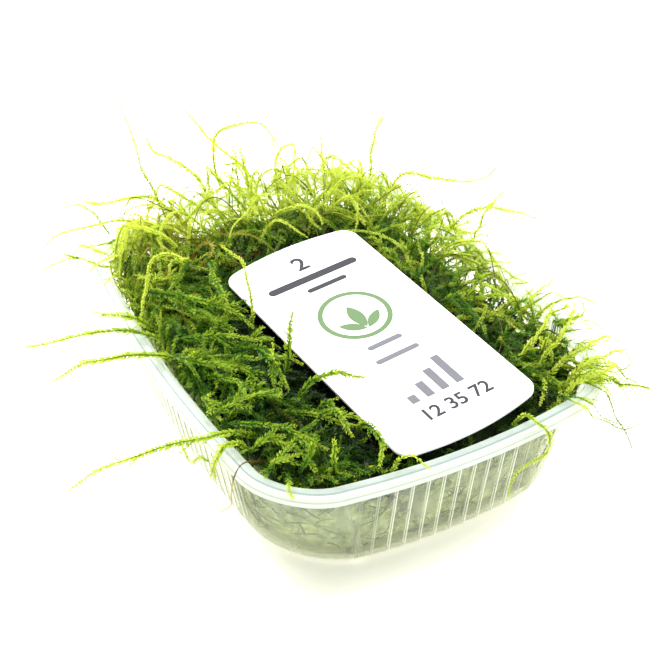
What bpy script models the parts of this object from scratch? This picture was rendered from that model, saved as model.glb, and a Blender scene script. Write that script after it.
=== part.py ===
"""A portion of java moss in its shallow ribbed tub, with a label card lying on the moss.

Metres, +Z up. The origin is at the centre of the tub's underside, +Y runs along the tub's long side.
"""

import math
import random

import bmesh
import bpy
from mathutils import Matrix, Vector, noise

# Driving dimensions: the tub
RIM_WIDTH = 0.082
RIM_LENGTH = 0.108
TUB_HEIGHT = 0.0247
WALL = 0.0006
RIM_CORNER = 0.0132
BASE_CORNER = 0.0150
LONG_SIDE_BOW = 0.090
SHORT_SIDE_BOW = 0.083
SKIRT_DROP = 0.0022
WALL_INSET_TOP = 0.0037
WALL_INSET_BASE = 0.0071
LEDGE_HEIGHT = 0.0216
RIB_PITCH = 0.0036
RIB_RADIUS = 0.00045
RIBS_ON_SHORT_SIDE = 13
RIBS_ON_LONG_SIDE = 19
RIB_FOOT = 0.0014
RIB_HEAD = 0.0210

# Driving dimensions: the card
CARD_WIDTH = 0.0315
CARD_LENGTH = 0.0634
CARD_THICKNESS = 0.0005
CARD_CORNER = 0.0027
CARD_END_BOW = 0.0021
CARD_CENTRE = Vector((0.00125, -0.0154, 0.0268))
CARD_YAW = math.radians(4.7)
CARD_PITCH = math.radians(2.3)
CARD_ROLL = math.radians(-3.6)

# Driving dimensions: the moss
GAP = 0.0003
MOSS_WALL_GAP = 0.0005
MOSS_LEVEL = 0.0238
LUMP_HEIGHT = 0.0010
LUMP_SIZE = 0.0085
MOSS_EDGE_DROP = 0.0008
TOP_RING_SHARES = (0.955, 0.885, 0.80, 0.70, 0.59, 0.47, 0.34, 0.20, 0.07)
CARD_HOLLOW_MARGIN = 0.0050
TUFTS = 46
TUFT_RADIUS = 0.0017
TUFT_INSET = 0.0050
TUFT_RISE = 0.0034
TUFT_FAR_RISE = 0.0040
TUFT_SPACING = 0.0040
TUFT_TRIES = 600
SHOOT_CLEARANCE = 0.0031

# Mounds that the moss makes round the card: x, y, rise, spread
MOUNDS = (
    (-0.027, 0.040, 0.0050, 0.013),
    (0.002, 0.047, 0.0068, 0.015),
    (0.022, 0.043, 0.0042, 0.012),
    (0.034, 0.012, 0.0060, 0.013),
    (0.033, -0.016, 0.0040, 0.012),
    (-0.030, 0.012, 0.0032, 0.014),
    (-0.027, -0.020, 0.0020, 0.012),
)

# Loose shoots: radius, then the places that the shoot runs through, root first
LEAFY, FAT, THIN = 0.0008, 0.0011, 0.00045
SHOOTS = {
    "shoot_left_1": (LEAFY, (-0.034, 0.0065, 0.0232), (-0.041, 0.008, 0.0271), (-0.048, 0.0095, 0.0281),
                     (-0.0545, 0.011, 0.0276), (-0.061, 0.012, 0.0274)),
    "shoot_left_2": (LEAFY, (-0.0343, 0.0105, 0.0232), (-0.0395, 0.0108, 0.0284), (-0.044, 0.0105, 0.0304),
                     (-0.047, 0.0095, 0.033)),
    "shoot_left_3": (LEAFY, (-0.033, -0.0025, 0.0232), (-0.0385, -0.0015, 0.0266), (-0.047, -0.0003, 0.0282),
                     (-0.053, 0.0005, 0.0283), (-0.059, 0.0014, 0.0261)),
    "shoot_left_4": (LEAFY, (-0.030, -0.0295, 0.0232), (-0.036, -0.0293, 0.0264), (-0.0475, -0.0288, 0.028),
                     (-0.060, -0.0284, 0.0277), (-0.066, -0.0282, 0.0255)),
    "shoot_left_stub": (LEAFY, (-0.033, -0.0325, 0.0232), (-0.0365, -0.0322, 0.0264),
                        (-0.039, -0.0326, 0.0267), (-0.0412, -0.0332, 0.0247), (-0.0414, -0.0336, 0.0212)),
    "shoot_left_curl": (THIN, (-0.0419, -0.0323, 0.0246), (-0.0423, -0.0285, 0.0227),
                        (-0.0422, -0.025, 0.0187), (-0.0422, -0.022, 0.0175), (-0.0424, -0.0205, 0.0197),
                        (-0.0424, -0.021, 0.0224)),
    "shoot_left_dead": (THIN, (-0.032, -0.0362, 0.0232), (-0.0365, -0.0376, 0.0264), (-0.039, -0.0386, 0.0264),
                        (-0.0408, -0.0395, 0.0237), (-0.0409, -0.0385, 0.0187), (-0.0418, -0.036, 0.0152)),
    "shoot_corner_1": (LEAFY, (-0.022, 0.042, 0.0252), (-0.027, 0.043, 0.0298), (-0.0343, 0.0451, 0.0298),
                       (-0.0417, 0.0471, 0.0286), (-0.046, 0.0483, 0.0254)),
    "shoot_corner_2": (LEAFY, (-0.0155, 0.047, 0.0272), (-0.020, 0.050, 0.0307), (-0.0266, 0.0528, 0.0298),
                       (-0.031, 0.055, 0.0292), (-0.0336, 0.0561, 0.0308)),
    "shoot_corner_3": (THIN, (-0.0305, 0.0475, 0.0252), (-0.0335, 0.049, 0.0312), (-0.0365, 0.050, 0.0332),
                       (-0.040, 0.051, 0.0324)),
    "shoot_corner_4": (THIN, (-0.0175, 0.0445, 0.0262), (-0.0185, 0.0473, 0.0312), (-0.0202, 0.0501, 0.0369),
                       (-0.021, 0.0512, 0.0434), (-0.0228, 0.0539, 0.0536)),
    "shoot_back_1": (LEAFY, (-0.0065, 0.0455, 0.0272), (-0.0078, 0.049, 0.0326), (-0.0118, 0.0536, 0.0362),
                     (-0.0147, 0.0565, 0.0374), (-0.0161, 0.058, 0.041)),
    "shoot_back_2": (LEAFY, (0.0065, 0.047, 0.0272), (0.004, 0.050, 0.0317), (-0.0008, 0.0558, 0.0368),
                     (-0.0034, 0.0589, 0.0412), (-0.006, 0.062, 0.0448)),
    "shoot_back_arc": (LEAFY, (-0.0025, 0.0482, 0.0282), (-0.0032, 0.0495, 0.0347), (-0.0024, 0.0495, 0.0417),
                       (0.0021, 0.0492, 0.0434), (0.0087, 0.0485, 0.042), (0.013, 0.048, 0.0357)),
    "shoot_back_3": (THIN, (0.0008, 0.045, 0.0272), (0.0004, 0.0452, 0.0342), (0.0005, 0.0448, 0.0397)),
    "shoot_back_4": (THIN, (0.024, 0.0462, 0.0252), (0.0239, 0.0475, 0.0282), (0.0238, 0.048, 0.0322),
                     (0.024, 0.0482, 0.0364)),
    "shoot_back_5": (LEAFY, (0.0305, 0.0375, 0.0232), (0.0322, 0.0391, 0.0292), (0.0326, 0.0392, 0.035),
                     (0.0337, 0.0386, 0.0394), (0.0351, 0.0378, 0.0427)),
    "shoot_back_6": (LEAFY, (0.0305, 0.030, 0.0252), (0.034, 0.0286, 0.0317), (0.041, 0.0264, 0.0304),
                     (0.0478, 0.0242, 0.0284), (0.0555, 0.0222, 0.0287)),
    "shoot_pillar": (FAT, (0.001, 0.0362, 0.0252), (0.0005, 0.038, 0.0307), (-0.0001, 0.0389, 0.0361),
                     (-0.0009, 0.0398, 0.0422)),
    "shoot_right_1": (LEAFY, (0.032, 0.0068, 0.0272), (0.036, 0.006, 0.0318), (0.0415, 0.0052, 0.0329),
                      (0.0476, 0.0043, 0.0308), (0.0545, 0.0034, 0.0274)),
    "shoot_right_2": (LEAFY, (0.0365, 0.0022, 0.0272), (0.0395, 0.0024, 0.0334), (0.042, 0.0024, 0.036),
                      (0.0437, 0.0022, 0.0377)),
    "shoot_right_3": (LEAFY, (0.0225, -0.034, 0.0232), (0.0245, -0.0348, 0.0272), (0.0278, -0.0355, 0.0318),
                      (0.029, -0.0357, 0.0366)),
    "shoot_right_4": (LEAFY, (0.0245, -0.038, 0.0232), (0.027, -0.0382, 0.0275), (0.0297, -0.0385, 0.0303),
                      (0.0318, -0.0388, 0.0357)),
    "shoot_right_5": (LEAFY, (0.0245, -0.041, 0.0227), (0.0285, -0.0411, 0.0267), (0.033, -0.0413, 0.028),
                      (0.0385, -0.0415, 0.0296)),
    "shoot_right_6": (LEAFY, (0.0265, -0.0442, 0.0227), (0.030, -0.0445, 0.0266), (0.0347, -0.045, 0.0279),
                      (0.0396, -0.0458, 0.0286)),
    "shoot_right_7": (LEAFY, (0.0235, -0.0465, 0.0227), (0.0275, -0.0474, 0.0263), (0.031, -0.048, 0.0271),
                      (0.0345, -0.049, 0.0286)),
    "shoot_right_stem_1": (THIN, (0.0285, -0.0205, 0.0232), (0.0295, -0.0175, 0.0272), (0.033, -0.009, 0.0322),
                           (0.0365, -0.001, 0.035), (0.038, 0.0125, 0.034)),
    "shoot_right_stem_2": (THIN, (0.0295, -0.0285, 0.0232), (0.0295, -0.026, 0.0272), (0.0285, -0.021, 0.0327),
                           (0.026, -0.012, 0.0337), (0.0235, -0.003, 0.0312)),
    "shoot_front_over": (THIN, (0.012, -0.0482, 0.0222), (0.0129, -0.0505, 0.0264), (0.0133, -0.0535, 0.0267),
                         (0.0145, -0.0558, 0.0248), (0.0146, -0.056, 0.0209), (0.0112, -0.056, 0.02),
                         (0.008, -0.056, 0.0192), (0.0069, -0.056, 0.016), (0.0065, -0.056, 0.0132)),
    "shoot_front_curl": (THIN, (-0.014, -0.0482, 0.0222), (-0.0132, -0.050, 0.0264),
                         (-0.0118, -0.0516, 0.028), (-0.011, -0.0533, 0.0272), (-0.0096, -0.0544, 0.026)),
    "shoot_front_1": (LEAFY, (-0.024, -0.0452, 0.0222), (-0.0239, -0.0455, 0.0257), (-0.0242, -0.0461, 0.0292),
                      (-0.024, -0.0462, 0.0325)),
    "shoot_card_1": (THIN, (-0.0185, -0.0005, 0.0232), (-0.0172, 0.001, 0.0284), (-0.0172, 0.0026, 0.0346),
                     (-0.0176, 0.004, 0.0382), (-0.0193, 0.0094, 0.0397)),
    "shoot_card_3": (LEAFY, (-0.0195, -0.0175, 0.0232), (-0.0184, -0.017, 0.0272), (-0.018, -0.0172, 0.0328),
                     (-0.0174, -0.0175, 0.0393)),
    "shoot_card_4": (THIN, (-0.0222, -0.0155, 0.0232), (-0.0213, -0.016, 0.0267), (-0.0211, -0.016, 0.0297),
                     (-0.021, -0.016, 0.0322)),
    "shoot_card_5": (LEAFY, (-0.021, -0.0243, 0.0232), (-0.018, -0.0251, 0.028), (-0.0151, -0.0259, 0.0293),
                     (-0.0119, -0.0267, 0.0291), (-0.008, -0.0278, 0.0274)),
    "shoot_card_6": (FAT, (-0.0192, -0.0282, 0.0227), (-0.0174, -0.0312, 0.0272), (-0.0177, -0.037, 0.028),
                     (-0.018, -0.0415, 0.0272)),
    "shoot_card_7": (LEAFY, (-0.014, -0.0362, 0.0222), (-0.0142, -0.039, 0.0268), (-0.0142, -0.0425, 0.0282),
                     (-0.0147, -0.0465, 0.0277), (-0.017, -0.0495, 0.0264)),
}

# Facets
CORNER_STEPS = 6
LONG_SIDE_STEPS = 6
SHORT_SIDE_STEPS = 5
SHOOT_POINTS = 7


def clear_scene():
    for obj in list(bpy.data.objects):
        bpy.data.objects.remove(obj, do_unlink=True)


def material(name, colour, roughness, alpha=1.0):
    """A Principled material of one colour."""
    made = bpy.data.materials.new(name)
    made.use_nodes = True
    shader = made.node_tree.nodes["Principled BSDF"]
    shader.inputs["Base Color"].default_value = (*colour, 1.0)
    shader.inputs["Roughness"].default_value = roughness
    shader.inputs["Metallic"].default_value = 0.0
    shader.inputs["Alpha"].default_value = alpha
    return made


def object_from(name, bm, collection, look=None):
    """Moves a bmesh, its faces turned outwards, into a new object."""
    bmesh.ops.recalc_face_normals(bm, faces=bm.faces)
    mesh = bpy.data.meshes.new(name)
    bm.to_mesh(mesh)
    bm.free()
    mesh.shade_smooth()
    mesh.set_sharp_from_angle(angle=math.radians(40))
    obj = bpy.data.objects.new(name, mesh)
    collection.objects.link(obj)
    if look:
        mesh.materials.append(look)
    return obj


def bowed_outline(inset, corner):
    """The tub's outline, inset from the rim's outer edge: a rectangle with round corners and bowed sides."""
    half_x = RIM_WIDTH / 2 - inset
    half_y = RIM_LENGTH / 2 - inset
    straight_x = half_x - corner
    straight_y = half_y - corner
    square = []
    corners = ((1, 1, 0), (-1, 1, 90), (-1, -1, 180), (1, -1, 270))
    for number, (sign_x, sign_y, start) in enumerate(corners):
        for step in range(CORNER_STEPS + 1):
            angle = math.radians(start + 90 * step / CORNER_STEPS)
            square.append((sign_x * straight_x + corner * math.cos(angle),
                           sign_y * straight_y + corner * math.sin(angle)))
        along_x = number % 2 == 0
        steps = SHORT_SIDE_STEPS if along_x else LONG_SIDE_STEPS
        first = Vector(square[-1])
        run = Vector((-2 * straight_x * sign_x, 0)) if along_x else Vector((0, -2 * straight_y * sign_y))
        square += [tuple(first + run * step / steps) for step in range(1, steps)]
    return [(x * (1 - LONG_SIDE_BOW * (y / half_y) ** 2), y * (1 - SHORT_SIDE_BOW * (x / half_x) ** 2))
            for x, y in square]


def ring(inset, height, corner):
    return [Vector((x, y, height)) for x, y in bowed_outline(inset, corner)]


def loft(bm, rings):
    """Joins rings of equal count by quads, with a flat face on the first and the last."""
    rows = [[bm.verts.new(point) for point in points] for points in rings]
    for lower, upper in zip(rows, rows[1:]):
        for index in range(len(lower)):
            after = (index + 1) % len(lower)
            bm.faces.new((lower[index], lower[after], upper[after], upper[index]))
    bm.faces.new(rows[0])
    bm.faces.new(rows[-1])


def wall_inset(height):
    """How far the wall's outer face stands inside the rim's outer edge, at a height."""
    share = min(max(height / LEDGE_HEIGHT, 0.0), 1.0)
    return WALL_INSET_BASE + (WALL_INSET_TOP - WALL_INSET_BASE) * share


def wall_corner(height):
    """The corner radius of the wall's outer face, at a height."""
    share = min(max(height / LEDGE_HEIGHT, 0.0), 1.0)
    return BASE_CORNER + (RIM_CORNER - WALL_INSET_TOP * 0.5 - BASE_CORNER) * share


def tub_rings():
    """Outer face from the underside up and over the rim, then the inner face down to the floor."""
    base_edge, ledge_inset, flange_inset = 0.0016, 0.0026, 0.0008
    outer = [
        ring(WALL_INSET_BASE + base_edge, 0.0, BASE_CORNER - base_edge),
        ring(WALL_INSET_BASE + base_edge * 0.35, base_edge * 0.25, BASE_CORNER - base_edge * 0.35),
        ring(wall_inset(base_edge), base_edge * 0.8, wall_corner(base_edge)),
        ring(WALL_INSET_TOP, LEDGE_HEIGHT, wall_corner(LEDGE_HEIGHT)),
        ring(ledge_inset, LEDGE_HEIGHT + WALL, RIM_CORNER - ledge_inset),
        ring(ledge_inset, TUB_HEIGHT - WALL, RIM_CORNER - ledge_inset),
        ring(flange_inset + WALL, TUB_HEIGHT - WALL, RIM_CORNER - flange_inset - WALL),
        ring(WALL, TUB_HEIGHT - SKIRT_DROP, RIM_CORNER - WALL),
    ]
    over = [
        ring(0.0, TUB_HEIGHT - SKIRT_DROP, RIM_CORNER),
        ring(flange_inset * 0.7, TUB_HEIGHT - WALL * 0.5, RIM_CORNER - flange_inset * 0.7),
        ring(flange_inset * 1.2, TUB_HEIGHT, RIM_CORNER - flange_inset * 1.2),
        ring(ledge_inset, TUB_HEIGHT, RIM_CORNER - ledge_inset),
    ]
    inner = [
        ring(ledge_inset + WALL, TUB_HEIGHT - WALL, RIM_CORNER - ledge_inset - WALL),
        ring(ledge_inset + WALL, LEDGE_HEIGHT + 2 * WALL, RIM_CORNER - ledge_inset - WALL),
        ring(WALL_INSET_TOP + WALL, LEDGE_HEIGHT + WALL, wall_corner(LEDGE_HEIGHT) - WALL),
        ring(wall_inset(base_edge) + WALL, base_edge, wall_corner(base_edge) - WALL),
        ring(WALL_INSET_BASE + base_edge + WALL, WALL, BASE_CORNER - base_edge - WALL),
    ]
    return outer + over + inner


def rib_lines():
    """Foot and head of each upright rib, on the outer face of the wall."""
    for side in (-1, 1):
        for count, half, bow, across_half, long_side in (
            (RIBS_ON_SHORT_SIDE, RIM_LENGTH / 2, SHORT_SIDE_BOW, RIM_WIDTH / 2, False),
            (RIBS_ON_LONG_SIDE, RIM_WIDTH / 2, LONG_SIDE_BOW, RIM_LENGTH / 2, True),
        ):
            for index in range(count):
                along = (index - (count - 1) / 2) * RIB_PITCH
                ends = []
                for height in (RIB_FOOT, RIB_HEAD):
                    inset = wall_inset(height)
                    out = side * (half - inset) * (1 - bow * (along / (across_half - inset)) ** 2)
                    ends.append(Vector((out, along, height) if long_side else (along, out, height)))
                yield ends


def make_ribs(collection):
    """All ribs in one guide object, which the tub takes in by a union."""
    bm = bmesh.new()
    for foot, head in rib_lines():
        run = head - foot
        place = Matrix.Translation((foot + head) / 2) @ run.to_track_quat("Z", "X").to_matrix().to_4x4()
        bmesh.ops.create_cone(bm, cap_ends=True, segments=4, radius1=RIB_RADIUS, radius2=RIB_RADIUS,
                              depth=run.length, matrix=place)
    ribs = object_from("rib_bars", bm, collection)
    as_guide(ribs)
    return ribs


def as_guide(obj):
    obj.hide_render = True
    obj.display_type = "WIRE"


def add_boolean(obj, other, operation):
    modifier = obj.modifiers.new(operation.lower(), "BOOLEAN")
    modifier.operation = operation
    modifier.object = other
    modifier.solver = "EXACT"


def make_tub(parts, guides):
    bm = bmesh.new()
    loft(bm, tub_rings())
    tub = object_from("tub", bm, parts, material("tub_plastic", (0.86, 0.90, 0.88), 0.35, alpha=0.45))
    add_boolean(tub, make_ribs(guides), "UNION")


def card_matrix():
    turn = Matrix.Rotation(CARD_YAW, 4, "Z") @ Matrix.Rotation(CARD_PITCH, 4, "X")
    return Matrix.Translation(CARD_CENTRE) @ turn @ Matrix.Rotation(CARD_ROLL, 4, "Y")


def make_card(parts):
    """A flat card with rounded corners and ends that bow out, as a filled 2D curve."""
    steps_at_corner, steps_at_end = 4, 8
    half_x, half_y = CARD_WIDTH / 2, CARD_LENGTH / 2
    points = []
    for sign_y in (1, -1):
        for sign_x in (sign_y, -sign_y):
            centre_x = sign_x * (half_x - CARD_CORNER)
            centre_y = sign_y * (half_y - CARD_CORNER)
            start = math.degrees(math.atan2(sign_y, sign_x)) - 45
            for step in range(steps_at_corner + 1):
                angle = math.radians(start + 90 * step / steps_at_corner)
                points.append([centre_x + CARD_CORNER * math.cos(angle),
                               centre_y + CARD_CORNER * math.sin(angle)])
            if sign_x == sign_y:
                points += [[centre_x * (1 - 2 * step / steps_at_end), sign_y * half_y]
                           for step in range(1, steps_at_end)]
    for point in points:
        point[1] += math.copysign(CARD_END_BOW, point[1]) * (1 - (point[0] / half_x) ** 2)
    curve = bpy.data.curves.new("label_card", "CURVE")
    curve.dimensions = "2D"
    curve.fill_mode = "BOTH"
    curve.extrude = CARD_THICKNESS / 2
    outline = curve.splines.new("POLY")
    outline.points.add(len(points) - 1)
    for place, (x, y) in zip(outline.points, points):
        place.co = (x, y, 0.0, 1.0)
    outline.use_cyclic_u = True
    card = bpy.data.objects.new("label_card", curve)
    parts.objects.link(card)
    card.matrix_world = card_matrix()
    curve.materials.append(material("card_white", (0.90, 0.90, 0.92), 0.45))


def on_card(x, y):
    """The place (x, y), at the height of the card's centre, in the card's own frame."""
    return card_matrix().inverted() @ Vector((x, y, CARD_CENTRE.z))


def beyond_card(x, y):
    """How far (x, y) lies outside the card's edge; below zero over the card."""
    place = on_card(x, y)
    return max(abs(place.x) - CARD_WIDTH / 2, abs(place.y) - CARD_LENGTH / 2 - CARD_END_BOW)


def moss_height(x, y):
    """The height of the moss's upper surface: mounds and lumps round a hollow that carries the card."""
    height = MOSS_LEVEL
    for centre_x, centre_y, rise, spread in MOUNDS:
        height += rise * math.exp(-((x - centre_x) ** 2 + (y - centre_y) ** 2) / (2 * spread**2))
    height += LUMP_HEIGHT * noise.noise(Vector((x, y, 0.0)) / LUMP_SIZE)
    under = CARD_CENTRE.z - on_card(x, y).z - CARD_THICKNESS / 2 - GAP
    return min(height, under + max(0.0, beyond_card(x, y) - CARD_HOLLOW_MARGIN))


def moss_rings(grow):
    """Rings of the mat: its underside, up the tub's inner face, and in over the top; grow enlarges them."""
    clear = WALL + MOSS_WALL_GAP - grow
    floor_edge, foot, foot_margin = 0.0030, 0.0024, 0.0004
    rings = [
        ring(WALL_INSET_BASE + floor_edge + clear, WALL + GAP, BASE_CORNER - floor_edge - clear),
        ring(wall_inset(foot) + clear + foot_margin, foot, wall_corner(foot) - clear - foot_margin),
        ring(wall_inset(LEDGE_HEIGHT) + clear, LEDGE_HEIGHT - WALL, wall_corner(LEDGE_HEIGHT) - clear),
    ]
    edge = bowed_outline(WALL_INSET_TOP + clear, wall_corner(LEDGE_HEIGHT) - clear)
    rings.append([Vector((x, y, max(moss_height(x, y) - MOSS_EDGE_DROP, LEDGE_HEIGHT) + grow))
                  for x, y in edge])
    for share in TOP_RING_SHARES:
        places = [(x * share, y * share) for x, y in edge]
        rings.append([Vector((x, y, moss_height(x, y) + grow)) for x, y in places])
    return rings


def smooth_route(places, count):
    """Count points along a smooth curve through the places, in Catmull-Rom pieces."""
    knots = [Vector(place) for place in places]
    knots = [2 * knots[0] - knots[1]] + knots + [2 * knots[-1] - knots[-2]]
    spans = len(knots) - 3
    route = []
    for step in range(count):
        where = step / (count - 1) * spans
        index = min(int(where), spans - 1)
        t = where - index
        a, b, c, d = knots[index:index + 4]
        route.append(0.5 * (2 * b + (c - a) * t + (2 * a - 5 * b + 4 * c - d) * t**2
                            + (3 * b - a - 3 * c + d) * t**3))
    return route


def tapered_tube(name, route, radius, tip_share, sides_level, collection, look=None):
    """A tube along the route that narrows towards its tip, as a closed mesh object."""
    curve = bpy.data.curves.new(name, "CURVE")
    curve.dimensions = "3D"
    curve.bevel_depth = radius
    curve.bevel_resolution = sides_level
    curve.use_fill_caps = True
    spline = curve.splines.new("POLY")
    spline.points.add(len(route) - 1)
    for index, (point, place) in enumerate(zip(spline.points, route)):
        share = index / (len(route) - 1)
        point.co = (*place, 1.0)
        point.radius = 1.0 - (1.0 - tip_share) * share**2
    guide = bpy.data.objects.new(name + "_curve", curve)
    collection.objects.link(guide)
    bpy.context.view_layer.update()
    mesh = bpy.data.meshes.new_from_object(guide.evaluated_get(bpy.context.evaluated_depsgraph_get()))
    bpy.data.objects.remove(guide, do_unlink=True)
    bm = bmesh.new()
    bm.from_mesh(mesh)
    bpy.data.meshes.remove(mesh)
    bmesh.ops.remove_doubles(bm, verts=bm.verts, dist=1e-6)
    return object_from(name, bm, collection, look)


def is_clear(place):
    """Whether a lock may pass through the place: off the card, and off the loose shoots."""
    return beyond_card(place.x, place.y) > SHOOT_CLEARANCE and all(
        (place - point).length > SHOOT_CLEARANCE
        for _, *places in SHOOTS.values() for point in smooth_route(places, 24))


def tuft_routes():
    """Roots along the moss's edge, each with a short lock of shoots that leans out over the rim."""
    rng = random.Random(7)
    edge = bowed_outline(WALL_INSET_TOP + TUFT_INSET, RIM_CORNER - TUFT_INSET)
    roots, routes = [], []
    for _ in range(TUFT_TRIES):
        if len(routes) == TUFTS:
            break
        x, y = rng.choice(edge)
        inward = rng.uniform(0.80, 1.0)
        root = Vector((x * inward, y * inward, 0.0))
        root.z = moss_height(root.x, root.y) - 0.0015
        outward = Vector((x, y, 0.0)).normalized()
        far_side = 0.5 + 0.5 * (0.45 * x / (RIM_WIDTH / 2) + 0.85 * y / (RIM_LENGTH / 2))
        tall = TUFT_RISE + TUFT_FAR_RISE * max(far_side, 0.0) * rng.uniform(0.6, 1.2)
        lean = rng.uniform(0.15, 0.75)
        sideways = Vector((-outward.y, outward.x, 0.0)) * rng.uniform(-0.4, 0.4)
        middle = root + Vector((0, 0, tall * 0.55)) + (outward * lean + sideways) * tall * 0.35
        tip = root + Vector((0, 0, tall)) + (outward * lean + sideways) * tall
        route = smooth_route((root, middle, tip), 4)
        apart = all((root - other).length > TUFT_SPACING for other in roots)
        if apart and all(is_clear(place) for place in route):
            roots.append(root)
            routes.append(route)
    return routes


def make_moss(parts, guides):
    """The tangled mat as one body: its mounded bulk with short locks of shoots grown from it."""
    bm = bmesh.new()
    loft(bm, moss_rings(0.0))
    mat = object_from("moss_mat", bm, parts, material("moss_green", (0.10, 0.24, 0.02), 0.70))
    bm = bmesh.new()
    for number, route in enumerate(tuft_routes()):
        lock = tapered_tube(f"lock_{number}", route, TUFT_RADIUS, 0.12, 0, guides)
        bm.from_mesh(lock.data)
        bpy.data.objects.remove(lock, do_unlink=True)
    locks = object_from("moss_locks", bm, guides)
    as_guide(locks)
    add_boolean(mat, locks, "UNION")
    mat.modifiers[-1].use_self = True


def make_shoots(parts, guides):
    """Each long loose shoot as its own piece, ended a gap's width above the mat that it grows out of."""
    bm = bmesh.new()
    loft(bm, moss_rings(GAP * 1.15))
    mat_space = object_from("mat_space", bm, guides)
    as_guide(mat_space)
    fresh = material("shoot_green", (0.22, 0.42, 0.03), 0.60)
    dead = material("shoot_dead", (0.45, 0.33, 0.05), 0.70)
    for name, (radius, *places) in SHOOTS.items():
        look = dead if name == "shoot_left_dead" else fresh
        route = smooth_route(places, SHOOT_POINTS if len(places) < 6 else SHOOT_POINTS + 4)
        shoot = tapered_tube(name, route, radius, 0.35, 1, parts, look)
        if name != "shoot_left_curl":
            add_boolean(shoot, mat_space, "DIFFERENCE")


def main():
    clear_scene()
    parts = bpy.data.collections.new("java_moss_tub")
    guides = bpy.data.collections.new("guides")
    bpy.context.scene.collection.children.link(parts)
    bpy.context.scene.collection.children.link(guides)
    make_tub(parts, guides)
    make_card(parts)
    make_moss(parts, guides)
    make_shoots(parts, guides)


main()
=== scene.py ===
"""A portion of java moss in its shallow ribbed tub, with a card lying on it: the finished look.

Metres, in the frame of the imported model: +Z up, the origin under the middle of the tub, and +Y along its
long side.
"""

import math

import bmesh
import bpy
import numpy as np
from mathutils import Matrix, Quaternion, Vector, noise
from mathutils.bvhtree import BVHTree


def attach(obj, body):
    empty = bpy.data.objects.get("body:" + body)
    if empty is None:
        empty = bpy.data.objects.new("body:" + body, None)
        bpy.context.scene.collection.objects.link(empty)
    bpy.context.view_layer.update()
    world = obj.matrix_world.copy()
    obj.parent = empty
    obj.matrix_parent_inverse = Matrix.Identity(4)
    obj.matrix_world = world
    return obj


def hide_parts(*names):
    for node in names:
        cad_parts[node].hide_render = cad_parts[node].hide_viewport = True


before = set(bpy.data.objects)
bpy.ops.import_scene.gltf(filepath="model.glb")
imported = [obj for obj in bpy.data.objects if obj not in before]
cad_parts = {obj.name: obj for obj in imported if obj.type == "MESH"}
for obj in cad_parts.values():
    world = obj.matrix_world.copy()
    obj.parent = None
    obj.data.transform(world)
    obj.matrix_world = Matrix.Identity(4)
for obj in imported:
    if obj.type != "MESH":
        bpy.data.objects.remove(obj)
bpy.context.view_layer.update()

# Camera
CAMERA_AZIMUTH = math.radians(-27.87)
CAMERA_ELEVATION = math.radians(35.74)
CAMERA_ROLL = math.radians(-0.77)
CAMERA_DISTANCE = 0.2661
CAMERA_TARGET = Vector((-0.00225, -0.0019, 0.0212))
CAMERA_LENS = 71.29

# Tub
RIM_WIDTH = 0.082
RIM_LENGTH = 0.108
TUB_HEIGHT = 0.0247
WALL = 0.0006
RIM_CORNER = 0.0132
BASE_CORNER = 0.0150
LONG_SIDE_BOW = 0.090
SHORT_SIDE_BOW = 0.083
SKIRT_DROP = 0.0022
WALL_INSET_TOP = 0.0037
WALL_INSET_BASE = 0.0071
LEDGE_HEIGHT = 0.0216
RIB_PITCH = 0.0036
RIBS_ON_SHORT_SIDE = 13
RIBS_ON_LONG_SIDE = 19
RIB_SHARE = 0.042
FLUTE_DEPTH = 0.00030
RIB_LINE = 0.00018
FLUTE_TOP = 0.0208
RIB_WHITENESS = 0.85
WALL_CLEARNESS = 0.78
RIM_CLEARNESS = 0.36
# Strength of the painted glow (emission) on the ribs and the base's edge
EDGE_GLOW = 0.27
EDGE_ROUNDING = 0.00014
OPENING_CORNER = RIM_CORNER - WALL_INSET_TOP
CORNER_STEPS = 16

# The four corners of a rectangle, in turn
QUARTERS = ((1, 1), (-1, 1), (-1, -1), (1, -1))

# Card
CARD_WIDTH = 0.0315
CARD_LENGTH = 0.0634
CARD_THICKNESS = 0.0005
CARD_CORNER = 0.0027
CARD_END_BOW = 0.0021
CARD_CENTRE = Vector((0.00125, -0.0154, 0.0268))
CARD_YAW = math.radians(4.7)
CARD_PITCH = math.radians(2.3)
CARD_ROLL = math.radians(-3.6)
PRINT_RELIEF = 0.00003

# Moss
NODE_STEP = 0.00032
LEAF_LENGTH = 0.00105
LEAF_WIDTH = 0.00050
LEAF_OPENING = 46.0
RANK_TURN = math.radians(36)
STEM_RADIUS = 0.00015
BED_TOP = 0.0237
BED_DROP = 0.0030
BED_WALL_GAP = 0.0016
BED_FOOT = 0.0030
LOOSE_DROP = 0.0145
HOLLOW_DROP = 0.0026
FAR_RISE = 0.0030
LUMP_WIDTH = 0.0045
LUMP_HEIGHT = 0.0009
CARD_CLEARANCE = 0.0004
CARD_GAP = 0.0018
RIM_CLEARANCE = 0.0009
WALL_CLEARANCE = 0.0010
OUTER_CLEARANCE = 0.0012
RIM_REACH = 0.0035
STRAND_DROOP = 1.1
MOST_TRIANGLES = 190_000
TRIANGLES_PER_NODE = 5.2
UP = np.array([0.0, 0.0, 1.0])

# Kinds of loose shoot: leaf size and stem size against the usual, and freshness, partly painted light
LEAFY, BRIGHT, PLUMP, FAT = (1.10, 1.5, 0.70), (0.95, 1.4, 0.95), (1.20, 1.8, 0.53), (1.30, 2.0, 0.85)
THIN, BARE, DEAD = (0.80, 1.1, 0.80), (0.45, 0.9, 0.38), (0.40, 1.2, 0.50)

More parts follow.
